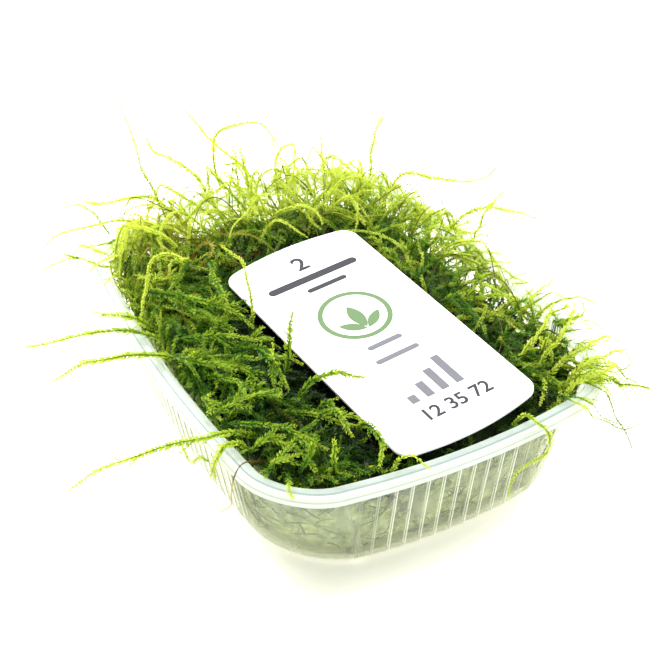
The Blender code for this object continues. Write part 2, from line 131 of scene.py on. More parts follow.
# Loose shoots: kind, then the places that the shoot runs through
SHOOTS = {
    "left_1": (LEAFY, (-0.034, 0.0065, 0.0232), (-0.041, 0.008, 0.0271), (-0.048, 0.0095, 0.0281),
               (-0.0545, 0.011, 0.0276), (-0.061, 0.012, 0.0274)),
    "left_2": (LEAFY, (-0.0343, 0.0105, 0.0232), (-0.0395, 0.0108, 0.0284), (-0.044, 0.0105, 0.0304),
               (-0.047, 0.0095, 0.033)),
    "left_3": (LEAFY, (-0.033, -0.0025, 0.0232), (-0.0385, -0.0015, 0.0266), (-0.047, -0.0003, 0.0282),
               (-0.053, 0.0005, 0.0283), (-0.059, 0.0014, 0.0261)),
    "left_4": (LEAFY, (-0.03, -0.0295, 0.0232), (-0.036, -0.0293, 0.0264), (-0.0475, -0.0288, 0.028),
               (-0.06, -0.0284, 0.0277), (-0.066, -0.0282, 0.0255)),
    "left_stub": (LEAFY, (-0.033, -0.0325, 0.0232), (-0.0365, -0.0322, 0.0264), (-0.039, -0.0326, 0.0267),
                  (-0.0412, -0.0332, 0.0247), (-0.0414, -0.0336, 0.0212)),
    "left_curl": (THIN, (-0.0419, -0.0323, 0.0246), (-0.0423, -0.0285, 0.0227), (-0.0422, -0.025, 0.0187),
                  (-0.0422, -0.022, 0.0175), (-0.0424, -0.0205, 0.0197), (-0.0424, -0.021, 0.0224)),
    "left_dead": (DEAD, (-0.032, -0.0362, 0.0232), (-0.0365, -0.0376, 0.0264), (-0.039, -0.0386, 0.0264),
                  (-0.0408, -0.0395, 0.0237), (-0.0409, -0.0385, 0.0187), (-0.0418, -0.036, 0.0152)),
    "corner_1": (BRIGHT, (-0.022, 0.042, 0.0252), (-0.027, 0.043, 0.0298), (-0.0343, 0.0451, 0.0298),
                 (-0.0417, 0.0471, 0.0286), (-0.046, 0.0483, 0.0254)),
    "corner_2": (BRIGHT, (-0.0155, 0.047, 0.0272), (-0.02, 0.05, 0.0307), (-0.0266, 0.0528, 0.0298),
                 (-0.031, 0.055, 0.0292), (-0.0336, 0.0561, 0.0308)),
    "corner_3": (THIN, (-0.0305, 0.0475, 0.0252), (-0.0335, 0.049, 0.0312), (-0.0365, 0.05, 0.0332),
                 (-0.04, 0.051, 0.0324)),
    "corner_4": (THIN, (-0.0175, 0.0445, 0.0262), (-0.0185, 0.0473, 0.0312), (-0.0202, 0.0501, 0.0369),
                 (-0.021, 0.0512, 0.0434), (-0.0228, 0.0539, 0.0536)),
    "back_1": (BRIGHT, (-0.0065, 0.0455, 0.0272), (-0.0078, 0.049, 0.0326), (-0.0118, 0.0536, 0.0362),
               (-0.0147, 0.0565, 0.0374), (-0.0161, 0.058, 0.041)),
    "back_2": (BRIGHT, (0.0065, 0.047, 0.0272), (0.004, 0.05, 0.0317), (-0.0008, 0.0558, 0.0368),
               (-0.0034, 0.0589, 0.0412), (-0.006, 0.062, 0.0448)),
    "back_arc": (BRIGHT, (-0.0025, 0.0482, 0.0282), (-0.0032, 0.0495, 0.0347), (-0.0024, 0.0495, 0.0417),
                 (0.0021, 0.0492, 0.0434), (0.0087, 0.0485, 0.042), (0.013, 0.048, 0.0357)),
    "back_3": (THIN, (0.0008, 0.045, 0.0272), (0.0004, 0.0452, 0.0342), (0.0005, 0.0448, 0.0397)),
    "back_4": (THIN, (0.024, 0.0462, 0.0252), (0.0239, 0.0475, 0.0282), (0.0238, 0.048, 0.0322),
               (0.024, 0.0482, 0.0364)),
    "back_5": (BRIGHT, (0.0305, 0.0375, 0.0232), (0.0322, 0.0391, 0.0292), (0.0326, 0.0392, 0.035),
               (0.0337, 0.0386, 0.0394), (0.0351, 0.0378, 0.0427)),
    "back_6": (BRIGHT, (0.0305, 0.03, 0.0252), (0.034, 0.0286, 0.0317), (0.041, 0.0264, 0.0304),
               (0.0478, 0.0242, 0.0284), (0.0555, 0.0222, 0.0287)),
    "pillar": (FAT, (0.001, 0.0362, 0.0252), (0.0005, 0.038, 0.0307), (-0.0001, 0.0389, 0.0361),
               (-0.0009, 0.0398, 0.0422)),
    "right_1": (BRIGHT, (0.032, 0.0068, 0.0272), (0.036, 0.006, 0.0318), (0.0415, 0.0052, 0.0329),
                (0.0476, 0.0043, 0.0308), (0.0545, 0.0034, 0.0274)),
    "right_2": (BRIGHT, (0.0365, 0.0022, 0.0272), (0.0395, 0.0024, 0.0334), (0.042, 0.0024, 0.036),
                (0.0437, 0.0022, 0.0377)),
    "right_3": (BRIGHT, (0.0225, -0.034, 0.0232), (0.0245, -0.0348, 0.0272), (0.0278, -0.0355, 0.0318),
                (0.029, -0.0357, 0.0366)),
    "right_4": (BRIGHT, (0.0245, -0.038, 0.0232), (0.027, -0.0382, 0.0275), (0.0297, -0.0385, 0.0303),
                (0.0318, -0.0388, 0.0357)),
    "right_5": (BRIGHT, (0.0245, -0.041, 0.0227), (0.0285, -0.0411, 0.0267), (0.033, -0.0413, 0.028),
                (0.0385, -0.0415, 0.0296)),
    "right_6": (BRIGHT, (0.0265, -0.0442, 0.0227), (0.03, -0.0445, 0.0266), (0.0347, -0.045, 0.0279),
                (0.0396, -0.0458, 0.0286)),
    "right_7": (BRIGHT, (0.0235, -0.0465, 0.0227), (0.0275, -0.0474, 0.0263), (0.031, -0.048, 0.0271),
                (0.0345, -0.049, 0.0286)),
    "right_stem_1": (BARE, (0.0285, -0.0205, 0.0232), (0.0295, -0.0175, 0.0272), (0.033, -0.009, 0.0322),
                     (0.0365, -0.001, 0.035), (0.038, 0.0125, 0.034)),
    "right_stem_2": (BARE, (0.0295, -0.0285, 0.0232), (0.0295, -0.026, 0.0272), (0.0285, -0.021, 0.0327),
                     (0.026, -0.012, 0.0337), (0.0235, -0.003, 0.0312)),
    "front_over": (THIN, (0.012, -0.0482, 0.0222), (0.0129, -0.0505, 0.0264), (0.0133, -0.0535, 0.0267),
                   (0.0145, -0.0558, 0.0248), (0.0146, -0.056, 0.0209), (0.0112, -0.056, 0.02),
                   (0.008, -0.056, 0.0192), (0.0069, -0.056, 0.016), (0.0065, -0.056, 0.0132)),
    "front_curl": (THIN, (-0.014, -0.0482, 0.0222), (-0.0132, -0.05, 0.0264), (-0.0118, -0.0516, 0.028),
                   (-0.011, -0.0533, 0.0272), (-0.0096, -0.0544, 0.026)),
    "front_1": (PLUMP, (-0.024, -0.0452, 0.0222), (-0.0239, -0.0455, 0.0257), (-0.0242, -0.0461, 0.0292),
                (-0.024, -0.0462, 0.0325)),
    "card_1": (THIN, (-0.0185, -0.0005, 0.0232), (-0.0172, 0.001, 0.0284), (-0.0172, 0.0026, 0.0346),
               (-0.0176, 0.004, 0.0382), (-0.0193, 0.0094, 0.0397)),
    "card_3": (PLUMP, (-0.0195, -0.0175, 0.0232), (-0.0184, -0.017, 0.0272), (-0.018, -0.0172, 0.0328),
               (-0.0174, -0.0175, 0.0393)),
    "card_4": (THIN, (-0.0222, -0.0155, 0.0232), (-0.0213, -0.016, 0.0267), (-0.0211, -0.016, 0.0297),
               (-0.021, -0.016, 0.0322)),
    "card_5": (PLUMP, (-0.021, -0.0243, 0.0232), (-0.018, -0.0251, 0.028), (-0.0151, -0.0259, 0.0293),
               (-0.0119, -0.0267, 0.0291), (-0.008, -0.0278, 0.0274)),
    "card_6": (PLUMP, (-0.0192, -0.0282, 0.0227), (-0.0174, -0.0312, 0.0272), (-0.0177, -0.037, 0.028),
               (-0.018, -0.0415, 0.0272)),
    "card_7": (PLUMP, (-0.014, -0.0362, 0.0222), (-0.0142, -0.039, 0.0268), (-0.0142, -0.0425, 0.0282),
               (-0.0147, -0.0465, 0.0277), (-0.017, -0.0495, 0.0264)),
}

# Plump shoots on the left of the tangle: the places that each runs through
FRONDS = (
    ((-0.0333, 0.0171, 0.0285), (-0.0277, 0.0077, 0.0308), (-0.0215, 0.0007, 0.0298),
     (-0.0194, -0.0039, 0.028)),
    ((-0.0313, 0.0118, 0.0285), (-0.0275, 0.0033, 0.0298), (-0.0228, -0.0032, 0.028)),
    ((-0.0333, 0, 0.0275), (-0.0265, -0.005, 0.0292), (-0.0202, -0.0088, 0.028)),
    ((-0.0365, -0.0023, 0.0265), (-0.0326, -0.0103, 0.0282), (-0.026, -0.0139, 0.027)),
    ((-0.0208, 0.0096, 0.031), (-0.0216, 0.0047, 0.0305), (-0.0216, 0.0016, 0.029)),
    ((-0.0372, -0.0237, 0.0265), (-0.0334, -0.0243, 0.0284), (-0.0269, -0.0232, 0.028)),
    ((-0.0364, -0.0172, 0.0265), (-0.0366, -0.0221, 0.0274), (-0.036, -0.0247, 0.0262)),
    ((-0.0356, -0.0267, 0.0265), (-0.0316, -0.0314, 0.0282), (-0.0272, -0.0353, 0.0278),
     (-0.023, -0.0412, 0.0262)),
    ((-0.0215, -0.0101, 0.0275), (-0.0214, -0.0181, 0.0283), (-0.0217, -0.0237, 0.027)),
    ((-0.0352, -0.0355, 0.0262), (-0.0328, -0.0353, 0.0277), (-0.0285, -0.0358, 0.0275)),
    ((-0.0343, -0.0406, 0.0258), (-0.0326, -0.0406, 0.0272), (-0.029, -0.0407, 0.027)),
    ((-0.0293, -0.0437, 0.0255), (-0.0269, -0.0423, 0.0278), (-0.0261, -0.0417, 0.03)),
    ((-0.0181, 0.0213, 0.03), (-0.0187, 0.0166, 0.0302), (-0.0212, 0.0122, 0.0296)),
    ((-0.0222, 0.0203, 0.0305), (-0.026, 0.0168, 0.0303), (-0.0301, 0.0136, 0.0292)),
    ((-0.0271, 0.0302, 0.0315), (-0.0273, 0.0258, 0.0315), (-0.029, 0.0193, 0.03)),
)


# Materials

class Nodes:
    """A material's node tree. Most calls add a node and give back the output that the next one needs."""

    def __init__(self, name):
        self.material = bpy.data.materials.new(name)
        self.material.use_nodes = True
        self.tree = self.material.node_tree
        self.tree.nodes.clear()

    def add(self, kind, output, inputs=None, **settings):
        """Inputs go by name or number, and each is a number, a colour, a stretch or another node's output."""
        node = self.tree.nodes.new(kind)
        for key, value in settings.items():
            setattr(node, key, value)
        for key, value in (inputs or {}).items():
            socket = node.inputs[key]
            if isinstance(value, (int, float)):
                socket.default_value = value
            elif isinstance(value, tuple):
                socket.default_value = (*value, 1.0)[:len(socket.default_value)]
            else:
                self.tree.links.new(value, socket)
        return node.outputs[output]

    def attribute(self, name):
        return self.add("ShaderNodeAttribute", "Fac", attribute_name=name)

    def place(self):
        return self.add("ShaderNodeTexCoord", "Object")

    def noise(self, scale, detail=3.0, roughness=0.55, distortion=0.0, stretch=None):
        place = self.place()
        if stretch:
            place = self.add("ShaderNodeMapping", "Vector", {"Vector": place, "Scale": stretch})
        return self.add("ShaderNodeTexNoise", "Fac", {"Vector": place, "Scale": scale, "Detail": detail,
                                                      "Roughness": roughness, "Distortion": distortion})

    def ramp(self, factor, *stops):
        output = self.add("ShaderNodeValToRGB", "Color", {"Fac": factor})
        elements = output.node.color_ramp.elements
        while len(elements) < len(stops):
            elements.new(0.5)
        for element, (place, colour) in zip(elements, stops):
            element.position = place
            element.color = (*colour, 1.0)
        return output

    def band(self, factor, *stops):
        """A ramp from black to white or back, from places and brightnesses."""
        return self.ramp(factor, *((place, (level,) * 3) for place, level in stops))

    def math(self, operation, first, second):
        return self.add("ShaderNodeMath", "Value", {0: first, 1: second}, operation=operation)

    def plus(self, first, second):
        return self.math("ADD", first, second)

    def times(self, first, second):
        return self.math("MULTIPLY", first, second)

    def mix(self, factor, first, second):
        return self.add("ShaderNodeMix", 2, {0: factor, 6: first, 7: second}, data_type="RGBA")

    def bump(self, height, strength, distance):
        inputs = {"Height": height, "Strength": strength, "Distance": distance}
        return self.add("ShaderNodeBump", "Normal", inputs)

    def principled(self, **values):
        inputs = {key.replace("_", " "): value for key, value in values.items()}
        return self.add("ShaderNodeBsdfPrincipled", "BSDF", inputs)

    def blend(self, factor, first, second):
        return self.add("ShaderNodeMixShader", "Shader", {0: factor, 1: first, 2: second})

    def finish(self, shader):
        output = self.tree.nodes.new("ShaderNodeOutputMaterial")
        self.tree.links.new(shader, output.inputs["Surface"])
        return self.material


def moss_material():
    """Leaves and stems: dark roots and yellow-green tips, partly their own freshness and partly painted light
    and shade; browner where dry, with light coming through them.
    """
    nodes = Nodes("moss_leaf")
    mottle = nodes.math("SUBTRACT", nodes.noise(420.0), 0.5)
    # Tone from each point's freshness, partly painted light and shade, with a random mottle
    tone = nodes.plus(nodes.attribute("fresh"), nodes.times(mottle, 0.35))
    green = nodes.ramp(tone, (0.0, (0.002, 0.012, 0.001)), (0.30, (0.012, 0.058, 0.005)),
                       (0.55, (0.056, 0.190, 0.012)), (0.80, (0.370, 0.500, 0.036)),
                       (1.0, (0.680, 0.760, 0.120)))
    brown = nodes.ramp(tone, (0.0, (0.050, 0.020, 0.006)), (0.5, (0.220, 0.120, 0.020)),
                       (1.0, (0.620, 0.520, 0.080)))
    colour = nodes.mix(nodes.attribute("dry"), green, brown)
    surface = nodes.principled(Base_Color=colour, Roughness=0.30, Specular_IOR_Level=0.14)
    brightness = nodes.times(nodes.math("MAXIMUM", tone, 0.0), 0.55)
    sunlit = nodes.mix(brightness, colour, (0.58, 0.70, 0.05))
    through = nodes.add("ShaderNodeBsdfTranslucent", "BSDF", {"Color": sunlit})
    share = nodes.plus(0.14, nodes.times(tone, 0.46))
    return nodes.finish(nodes.blend(share, surface, through))


def bed_material():
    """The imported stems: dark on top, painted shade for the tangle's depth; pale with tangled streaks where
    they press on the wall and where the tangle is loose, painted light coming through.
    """
    nodes = Nodes("moss_bed")
    coarse = nodes.noise(210.0, detail=5.0, roughness=0.6)
    medium = nodes.noise(520.0, detail=4.0, roughness=0.6)
    fine = nodes.noise(1100.0, detail=5.0, roughness=0.7)
    height = nodes.add("ShaderNodeSeparateXYZ", "Z", {"Vector": nodes.place()})
    lowness = nodes.times(nodes.math("SUBTRACT", 0.010, height), 13.0)
    tone = nodes.plus(nodes.plus(nodes.times(coarse, 0.70), nodes.times(fine, 0.34)), lowness)
    wall_tone = nodes.plus(nodes.times(medium, 0.55), nodes.times(tone, 0.48))
    # Near-black: painted shade for the depth of the tangle
    deep_painted_shade = nodes.ramp(tone, (0.36, (0.003, 0.007, 0.001)), (0.50, (0.012, 0.026, 0.004)),
                      (0.62, (0.035, 0.070, 0.008)), (0.75, (0.090, 0.140, 0.025)))
    pale = nodes.ramp(wall_tone, (0.38, (0.040, 0.070, 0.022)), (0.48, (0.210, 0.275, 0.105)),
                      (0.57, (0.470, 0.510, 0.260)), (0.70, (0.880, 0.890, 0.630)))
    worm = nodes.noise(620.0, detail=1.5, roughness=0.5, distortion=1.6)
    line = nodes.band(worm, (0.455, 0.0), (0.485, 1.0), (0.500, 1.0), (0.530, 0.0))
    patch = nodes.band(nodes.noise(90.0), (0.42, 0.0), (0.60, 1.0))
    pale = nodes.mix(nodes.times(line, nodes.times(patch, 0.75)), pale, (0.030, 0.055, 0.018))
    # Pale where lit: painted light through the wall and through the loose tangle
    colour = nodes.mix(nodes.attribute("lit"), deep_painted_shade, pale)
    return nodes.finish(nodes.principled(Base_Color=colour, Roughness=0.7, Specular_IOR_Level=0.12,
                                         Normal=nodes.bump(fine, 0.6, 0.0006)))


def tub_material():
    """Thin frosted plastic: part of the light passes straight and the rest is scattered.

    The ribs and the base's edge are painted whiter and given a painted glow (emission), standing in for the
    light that the plastic carries to them.
    """
    nodes = Nodes("tub_plastic")
    white = nodes.attribute("white")
    cloud = nodes.noise(140.0, detail=4.0)
    streak = nodes.noise(700.0, detail=2.0, stretch=(1.0, 1.0, 0.15))
    body = nodes.mix(cloud, (0.88, 0.90, 0.80), (0.95, 0.96, 0.90))
    # A cool blue-grey tint, partly the plastic's own and partly painted shade in thin lines along the rim's
    # steps and under the ledge
    body = nodes.mix(nodes.attribute("cool"), body, (0.30, 0.41, 0.45))
    # Ribs and base edge whiter, partly thicker plastic and partly a painted highlight, and with a painted
    # glow
    body = nodes.mix(white, body, (0.99, 0.98, 0.93))
    surface = nodes.principled(
        Base_Color=body, Roughness=nodes.plus(0.20, nodes.times(streak, 0.14)), Specular_IOR_Level=0.5,
        Emission_Color=(1.0, 0.98, 0.86), Emission_Strength=nodes.times(white, EDGE_GLOW),
        Normal=nodes.bump(streak, 0.10, 0.0002))
    glow = nodes.add("ShaderNodeBsdfTranslucent", "BSDF", {"Color": body})
    frosted = nodes.blend(nodes.times(0.55, nodes.math("SUBTRACT", 1.0, white)), surface, glow)
    straight = nodes.add("ShaderNodeBsdfTransparent", "BSDF", {"Color": (0.945, 0.962, 0.900)})
    share = nodes.times(nodes.attribute("clear"), nodes.plus(0.75, nodes.times(cloud, 0.5)))
    return nodes.finish(nodes.blend(share, frosted, straight))


def grained_material(name, scale, dark, light, roughness, specular, tooth=0.0):
    """Two near colours in a fine grain, and a faint relief where there is a tooth."""
    nodes = Nodes(name)
    grain = nodes.noise(scale, detail=2.0)
    relief = {"Normal": nodes.bump(grain, tooth, 0.0001)} if tooth else {}
    return nodes.finish(nodes.principled(Base_Color=nodes.mix(grain, dark, light), Roughness=roughness,
                                         Specular_IOR_Level=specular, **relief))


def card_material():
    return grained_material("card_white", 2500.0, (0.78, 0.78, 0.81), (0.81, 0.81, 0.84), 0.42, 0.28, 0.05)


def ink_material(name, dark, light):
    return grained_material(name, 3000.0, dark, light, 0.75, 0.12)


def floor_material():
    return grained_material("floor_white", 60.0, (0.975, 0.965, 0.870), (0.985, 0.975, 0.890), 0.85, 0.5)


# Meshes

def capped(rings):
    """Points and triangles of a skin through rings of equal count, closed by a fan at both ends."""
    count = len(rings[0])
    points = np.concatenate(rings + [[rings[0].mean(0), rings[-1].mean(0)]])
    around = np.arange(count)
    after = (around + 1) % count
    triangles = []
    for row in range(len(rings) - 1):
        low, high = row * count, (row + 1) * count
        triangles += [np.stack([low + around, low + after, high + after], 1),
                      np.stack([low + around, high + after, high + around], 1)]
    last, centre = (len(rings) - 1) * count, len(rings) * count
    triangles += [np.stack([np.full(count, centre), after, around], 1),
                  np.stack([np.full(count, centre + 1), last + around, last + after], 1)]
    return points, np.concatenate(triangles)


def placed(obj, look, node=None):
    """Links a new piece, gives it its material and slot, and sets it on the one body in place of a node."""
    bpy.context.scene.collection.objects.link(obj)
    obj.data.materials.append(look)
    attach(obj, "root")
    if node:
        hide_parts(node)
    return obj


def mesh_object(name, points, triangles, look, node, values, smooth=False):
    """A new piece from arrays of points and triangles, with its values per point."""
    mesh = bpy.data.meshes.new(name)
    mesh.vertices.add(len(points))
    mesh.vertices.foreach_set("co", np.asarray(points, np.float32).ravel())
    mesh.loops.add(3 * len(triangles))
    mesh.loops.foreach_set("vertex_index", np.asarray(triangles, np.int32).ravel())
    mesh.polygons.add(len(triangles))
    mesh.polygons.foreach_set("loop_start", np.arange(0, 3 * len(triangles), 3, dtype=np.int32))
    mesh.polygons.foreach_set("use_smooth", np.full(len(triangles), smooth))
    for key, numbers in values.items():
        attribute = mesh.attributes.new(key, "FLOAT", "POINT")
        attribute.data.foreach_set("value", np.asarray(numbers, np.float32))
    mesh.update(calc_edges=True)
    mesh.validate()
    return placed(bpy.data.objects.new(name, mesh), look, node)


# Tub

def bowed(points, half_x, half_y):
    """Bows the sides of a round-cornered rectangle out."""
    x, y = points.T
    across = 1 - LONG_SIDE_BOW * (y / half_y) ** 2
    lengthwise = 1 - SHORT_SIDE_BOW * (x / half_x) ** 2
    return np.stack([x * across, y * lengthwise], 1)


def rib_strength(where, count):
    """How strong the ribs are, counted in pitches from the first: they fade towards both ends of a side."""
    return np.clip((np.minimum(where, count - 1 - where) + 0.3) / 2.3, 0, 1)


def rib_line(along, count):
    """How much rib there is at a distance along a side: most on a rib's crest, falling to 0 beside it."""
    where = along / RIB_PITCH + (count - 1) / 2
    crest = np.exp(-((where - np.clip(np.round(where), 0, count - 1)) / RIB_SHARE) ** 2)
    return crest * rib_strength(where, count)


def flute(along, count):
    """Outward offset of the wall along a side: a shallow sawtooth with a thin raised line at each step."""
    where = along / RIB_PITCH + (count - 1) / 2
    return (FLUTE_DEPTH * (1 - (where - np.floor(where))) * rib_strength(where, count)
            + RIB_LINE * rib_line(along, count))


def side_samples(count):
    """Distances along a side where the outline has points: close together at each rib."""
    centres = (np.arange(count) - (count - 1) / 2) * RIB_PITCH
    steps = np.array([-0.09, -0.045, -0.01, 0.01, 0.045, 0.09, 0.35, 0.62])
    return (centres[:, None] + RIB_PITCH * steps).ravel()[:-2][::-1]


def outline(inset, corner, fluted=0.0):
    """The tub's outline, inset from the rim's outer edge, with flutes of a share of their full depth."""
    half_x, half_y = RIM_WIDTH / 2 - inset, RIM_LENGTH / 2 - inset
    pieces = []
    for number, (sign_x, sign_y) in enumerate(QUARTERS):
        angle = np.radians(90 * number + np.linspace(0, 90, CORNER_STEPS + 1))
        pieces.append(np.stack([sign_x * (half_x - corner) + corner * np.cos(angle),
                                sign_y * (half_y - corner) + corner * np.sin(angle)], 1))
        short_side = number % 2 == 0
        count = RIBS_ON_SHORT_SIDE if short_side else RIBS_ON_LONG_SIDE
        along = side_samples(count)
        out = (half_y if short_side else half_x) + fluted * flute(along, count)
        side = [sign_x * along, sign_y * out] if short_side else [sign_x * out, sign_y * along]
        pieces.append(np.stack(side, 1))
    return bowed(np.concatenate(pieces), half_x, half_y)


def outline_ribs():
    """How much of a rib there is at each point of the outline."""
    corner = np.zeros(CORNER_STEPS + 1)
    return np.concatenate([part for count in (RIBS_ON_SHORT_SIDE, RIBS_ON_LONG_SIDE) * 2
                           for part in (corner, rib_line(side_samples(count), count))])


def wall_inset(height):
    share = min(max(height / LEDGE_HEIGHT, 0.0), 1.0)
    return WALL_INSET_BASE + (WALL_INSET_TOP - WALL_INSET_BASE) * share


def wall_corner(height):
    share = min(max(height / LEDGE_HEIGHT, 0.0), 1.0)
    return BASE_CORNER + (RIM_CORNER - WALL_INSET_TOP * 0.5 - BASE_CORNER) * share


def rounded_profile(rows):
    """Each inner row of a profile becomes three, so that its edge is round."""
    rows = np.array(rows, float)
    made = [rows[0]]
    for before, here, after in zip(rows, rows[1:], rows[2:]):
        back, ahead = before - here, after - here
        near = here + back * min(0.45, EDGE_ROUNDING / np.linalg.norm(back[:2]))
        far = here + ahead * min(0.45, EDGE_ROUNDING / np.linalg.norm(ahead[:2]))
        made += [near, (near + far) / 4 + here / 2, far]
    return made + [rows[-1]]


def tub_profile():
    """Rows of inset, height, corner radius, flutes, light passed straight, cool tint with painted shade, and
    whiteness with painted glow.
    """
    edge, ledge, flange, step = 0.0016, 0.0026, 0.0008, 0.00035
    wall, rim = WALL_CLEARNESS, RIM_CLEARNESS
    base_and_wall = [
        (WALL_INSET_BASE + edge * 1.4, 0.0002, BASE_CORNER - edge, 0.0, wall, 0.0, 0.0),
        (WALL_INSET_BASE + edge, 0.0, BASE_CORNER - edge, 0.3, wall * 0.4, 0.0, 0.8),
        (WALL_INSET_BASE + edge * 0.35, edge * 0.25, BASE_CORNER - edge * 0.35, 0.8, wall * 0.3, 0.0, 0.9),
        (wall_inset(edge) + 0.0001, edge * 0.55, wall_corner(edge), 1.0, wall * 0.3, 0.0, 0.9),
        (wall_inset(edge), edge * 0.75, wall_corner(edge), 1.0, wall, 0.0, 0.0),
        (wall_inset(FLUTE_TOP / 2), FLUTE_TOP / 2, wall_corner(FLUTE_TOP / 2), 1.0, wall, 0.0, 0.0),
        (wall_inset(FLUTE_TOP), FLUTE_TOP, wall_corner(FLUTE_TOP), 1.0, wall, 0.2, 0.0),
        (WALL_INSET_TOP, LEDGE_HEIGHT, wall_corner(LEDGE_HEIGHT), 0.0, wall, 0.6, 0.0),
    ]
    # Inset, height, light passed straight, cool tint with painted shade
    rim_rows = [
        (ledge, LEDGE_HEIGHT + WALL, rim, 0.5),
        (ledge, TUB_HEIGHT - WALL - step, rim, 0.5),
        (flange + WALL, TUB_HEIGHT - WALL - step, rim, 0.5),
        (WALL, TUB_HEIGHT - SKIRT_DROP, rim * 0.5, 0.0),
        (0.0, TUB_HEIGHT - SKIRT_DROP, rim * 0.3, 0.5),
        (flange * 0.1, TUB_HEIGHT - SKIRT_DROP * 0.88, rim * 0.2, 0.2),
        (flange * 0.2, TUB_HEIGHT - SKIRT_DROP * 0.62, rim * 0.2, 0.2),
        (flange * 0.3, TUB_HEIGHT - SKIRT_DROP * 0.55, rim * 0.2, 0.9),
        (flange * 0.3, TUB_HEIGHT - SKIRT_DROP * 0.47, rim * 0.2, 0.2),
        (flange * 0.4, TUB_HEIGHT - WALL, rim * 0.2, 0.2),
        (flange, TUB_HEIGHT - step, rim * 0.2, 0.2),
        (flange * 1.45, TUB_HEIGHT - step, rim * 0.2, 0.2),
        (flange * 1.6, TUB_HEIGHT - step * 0.8, rim * 0.3, 1.0),
        (flange * 1.8, TUB_HEIGHT, rim, 0.6),
        (ledge, TUB_HEIGHT, rim, 0.5),
        (ledge + WALL, TUB_HEIGHT - WALL, rim, 0.0),
        (ledge + WALL, LEDGE_HEIGHT + 2 * WALL, rim, 0.6),
    ]
    inside = [
        (WALL_INSET_TOP + WALL, LEDGE_HEIGHT + WALL, wall_corner(LEDGE_HEIGHT) - WALL, 0.0, rim, 0.3, 0.0),
        (wall_inset(FLUTE_TOP) + WALL, FLUTE_TOP, wall_corner(FLUTE_TOP) - WALL, 1.0, wall, 0.0, 0.0),
        (wall_inset(edge) + WALL, edge, wall_corner(edge) - WALL, 1.0, wall, 0.0, 0.0),
        (WALL_INSET_BASE + edge + WALL, WALL, BASE_CORNER - edge - WALL, 0.0, wall, 0.0, 0.0),
    ]
    rim_rows = [(inset, height, RIM_CORNER - inset, 0.0, *rest, 0.0) for inset, height, *rest in rim_rows]
    return rounded_profile(base_and_wall + rim_rows + inside)


def make_tub():
    """One thin skin: underside, fluted wall, ledge, stepped flange and skirt, then back down inside."""
    ribs = outline_ribs()
    rings, clear, cool, white = [], [], [], []
    for inset, height, corner, fluted, passed, coolness_and_painted_shade, whiteness_and_painted_glow in tub_profile():
        rings.append(np.column_stack([outline(inset, corner, fluted), np.full(len(ribs), height)]))
        clear.append(passed * (1 - RIB_WHITENESS * fluted * ribs))
        # Cool tint with painted shade along the rim's steps and under the ledge
        cool.append(np.full(len(ribs), coolness_and_painted_shade))
        # Whiter, with a painted glow, on the ribs and at the base's edge
        white.append(np.maximum(0.9 * fluted * ribs, whiteness_and_painted_glow))
    values = {"clear": np.append(clear, [WALL_CLEARNESS] * 2), "cool": np.append(cool, [0, 0]),
              "white": np.append(white, [0, 0])}
    points, triangles = capped(rings)
    tub = mesh_object("tub_frosted", points, triangles, tub_material(), "tub", values,
                      smooth=True)
    tub.data.set_sharp_from_angle(angle=math.radians(38))


# Card

def card_matrix():
    turn = Matrix.Rotation(CARD_YAW, 4, "Z") @ Matrix.Rotation(CARD_PITCH, 4, "X")
    return Matrix.Translation(CARD_CENTRE) @ turn @ Matrix.Rotation(CARD_ROLL, 4, "Y")


def card_outline():
    """Corners round, short ends bowed out."""
    corner_steps, end_steps = 10, 24
    half_x, half_y = CARD_WIDTH / 2, CARD_LENGTH / 2
    reach_x, reach_y = half_x - CARD_CORNER, half_y - CARD_CORNER
    points = []
    for number, (sign_x, sign_y) in enumerate(QUARTERS):
        for step in range(corner_steps + 1):
            angle = math.radians(90 * number + 90 * step / corner_steps)
            points.append([sign_x * reach_x + CARD_CORNER * math.cos(angle),
                           sign_y * reach_y + CARD_CORNER * math.sin(angle)])
        if sign_x == sign_y:
            points += [[sign_x * reach_x * (1 - 2 * step / end_steps), sign_y * half_y]
                       for step in range(1, end_steps)]
    for point in points:
        point[1] += math.copysign(CARD_END_BOW, point[1]) * (1 - (point[0] / half_x) ** 2)
    return points


def flat_shape(*outlines, thickness=PRINT_RELIEF):
    """A filled flat shape from closed outlines; inner outlines are holes."""
    curve = bpy.data.curves.new("flat_shape", "CURVE")
    curve.dimensions = "2D"
    curve.fill_mode = "BOTH"
    curve.extrude = thickness / 2
    for points in outlines:
        spline = curve.splines.new("POLY")
        spline.points.add(len(points) - 1)
        for place, (x, y) in zip(spline.points, points):
            place.co = (x, y, 0.0, 1.0)
        spline.use_cyclic_u = True
    return bpy.data.objects.new("flat_shape", curve)


def card_piece(name, shapes, matrix, look, node=None, bevel=0.0):
    """Joins curve and text shapes into one mesh piece set by the matrix."""
    bm = bmesh.new()
    for shape in shapes:
        bpy.context.scene.collection.objects.link(shape)
        bpy.context.view_layer.update()
        mesh = bpy.data.meshes.new_from_object(shape.evaluated_get(bpy.context.evaluated_depsgraph_get()))
        mesh.transform(shape.matrix_world)
        bm.from_mesh(mesh)
        bpy.data.objects.remove(shape, do_unlink=True)
    bmesh.ops.remove_doubles(bm, verts=bm.verts, dist=1e-6)
    bmesh.ops.transform(bm, matrix=matrix, verts=bm.verts)
    mesh = bpy.data.meshes.new(name)
    bm.to_mesh(mesh)
    bm.free()
    mesh.shade_smooth()
    mesh.set_sharp_from_angle(angle=math.radians(30))
    obj = bpy.data.objects.new(name, mesh)
    if bevel:
        rounding = obj.modifiers.new("rounding", "BEVEL")
        rounding.width = bevel
        rounding.segments = 2
        rounding.limit_method = "ANGLE"
    placed(obj, look, node)


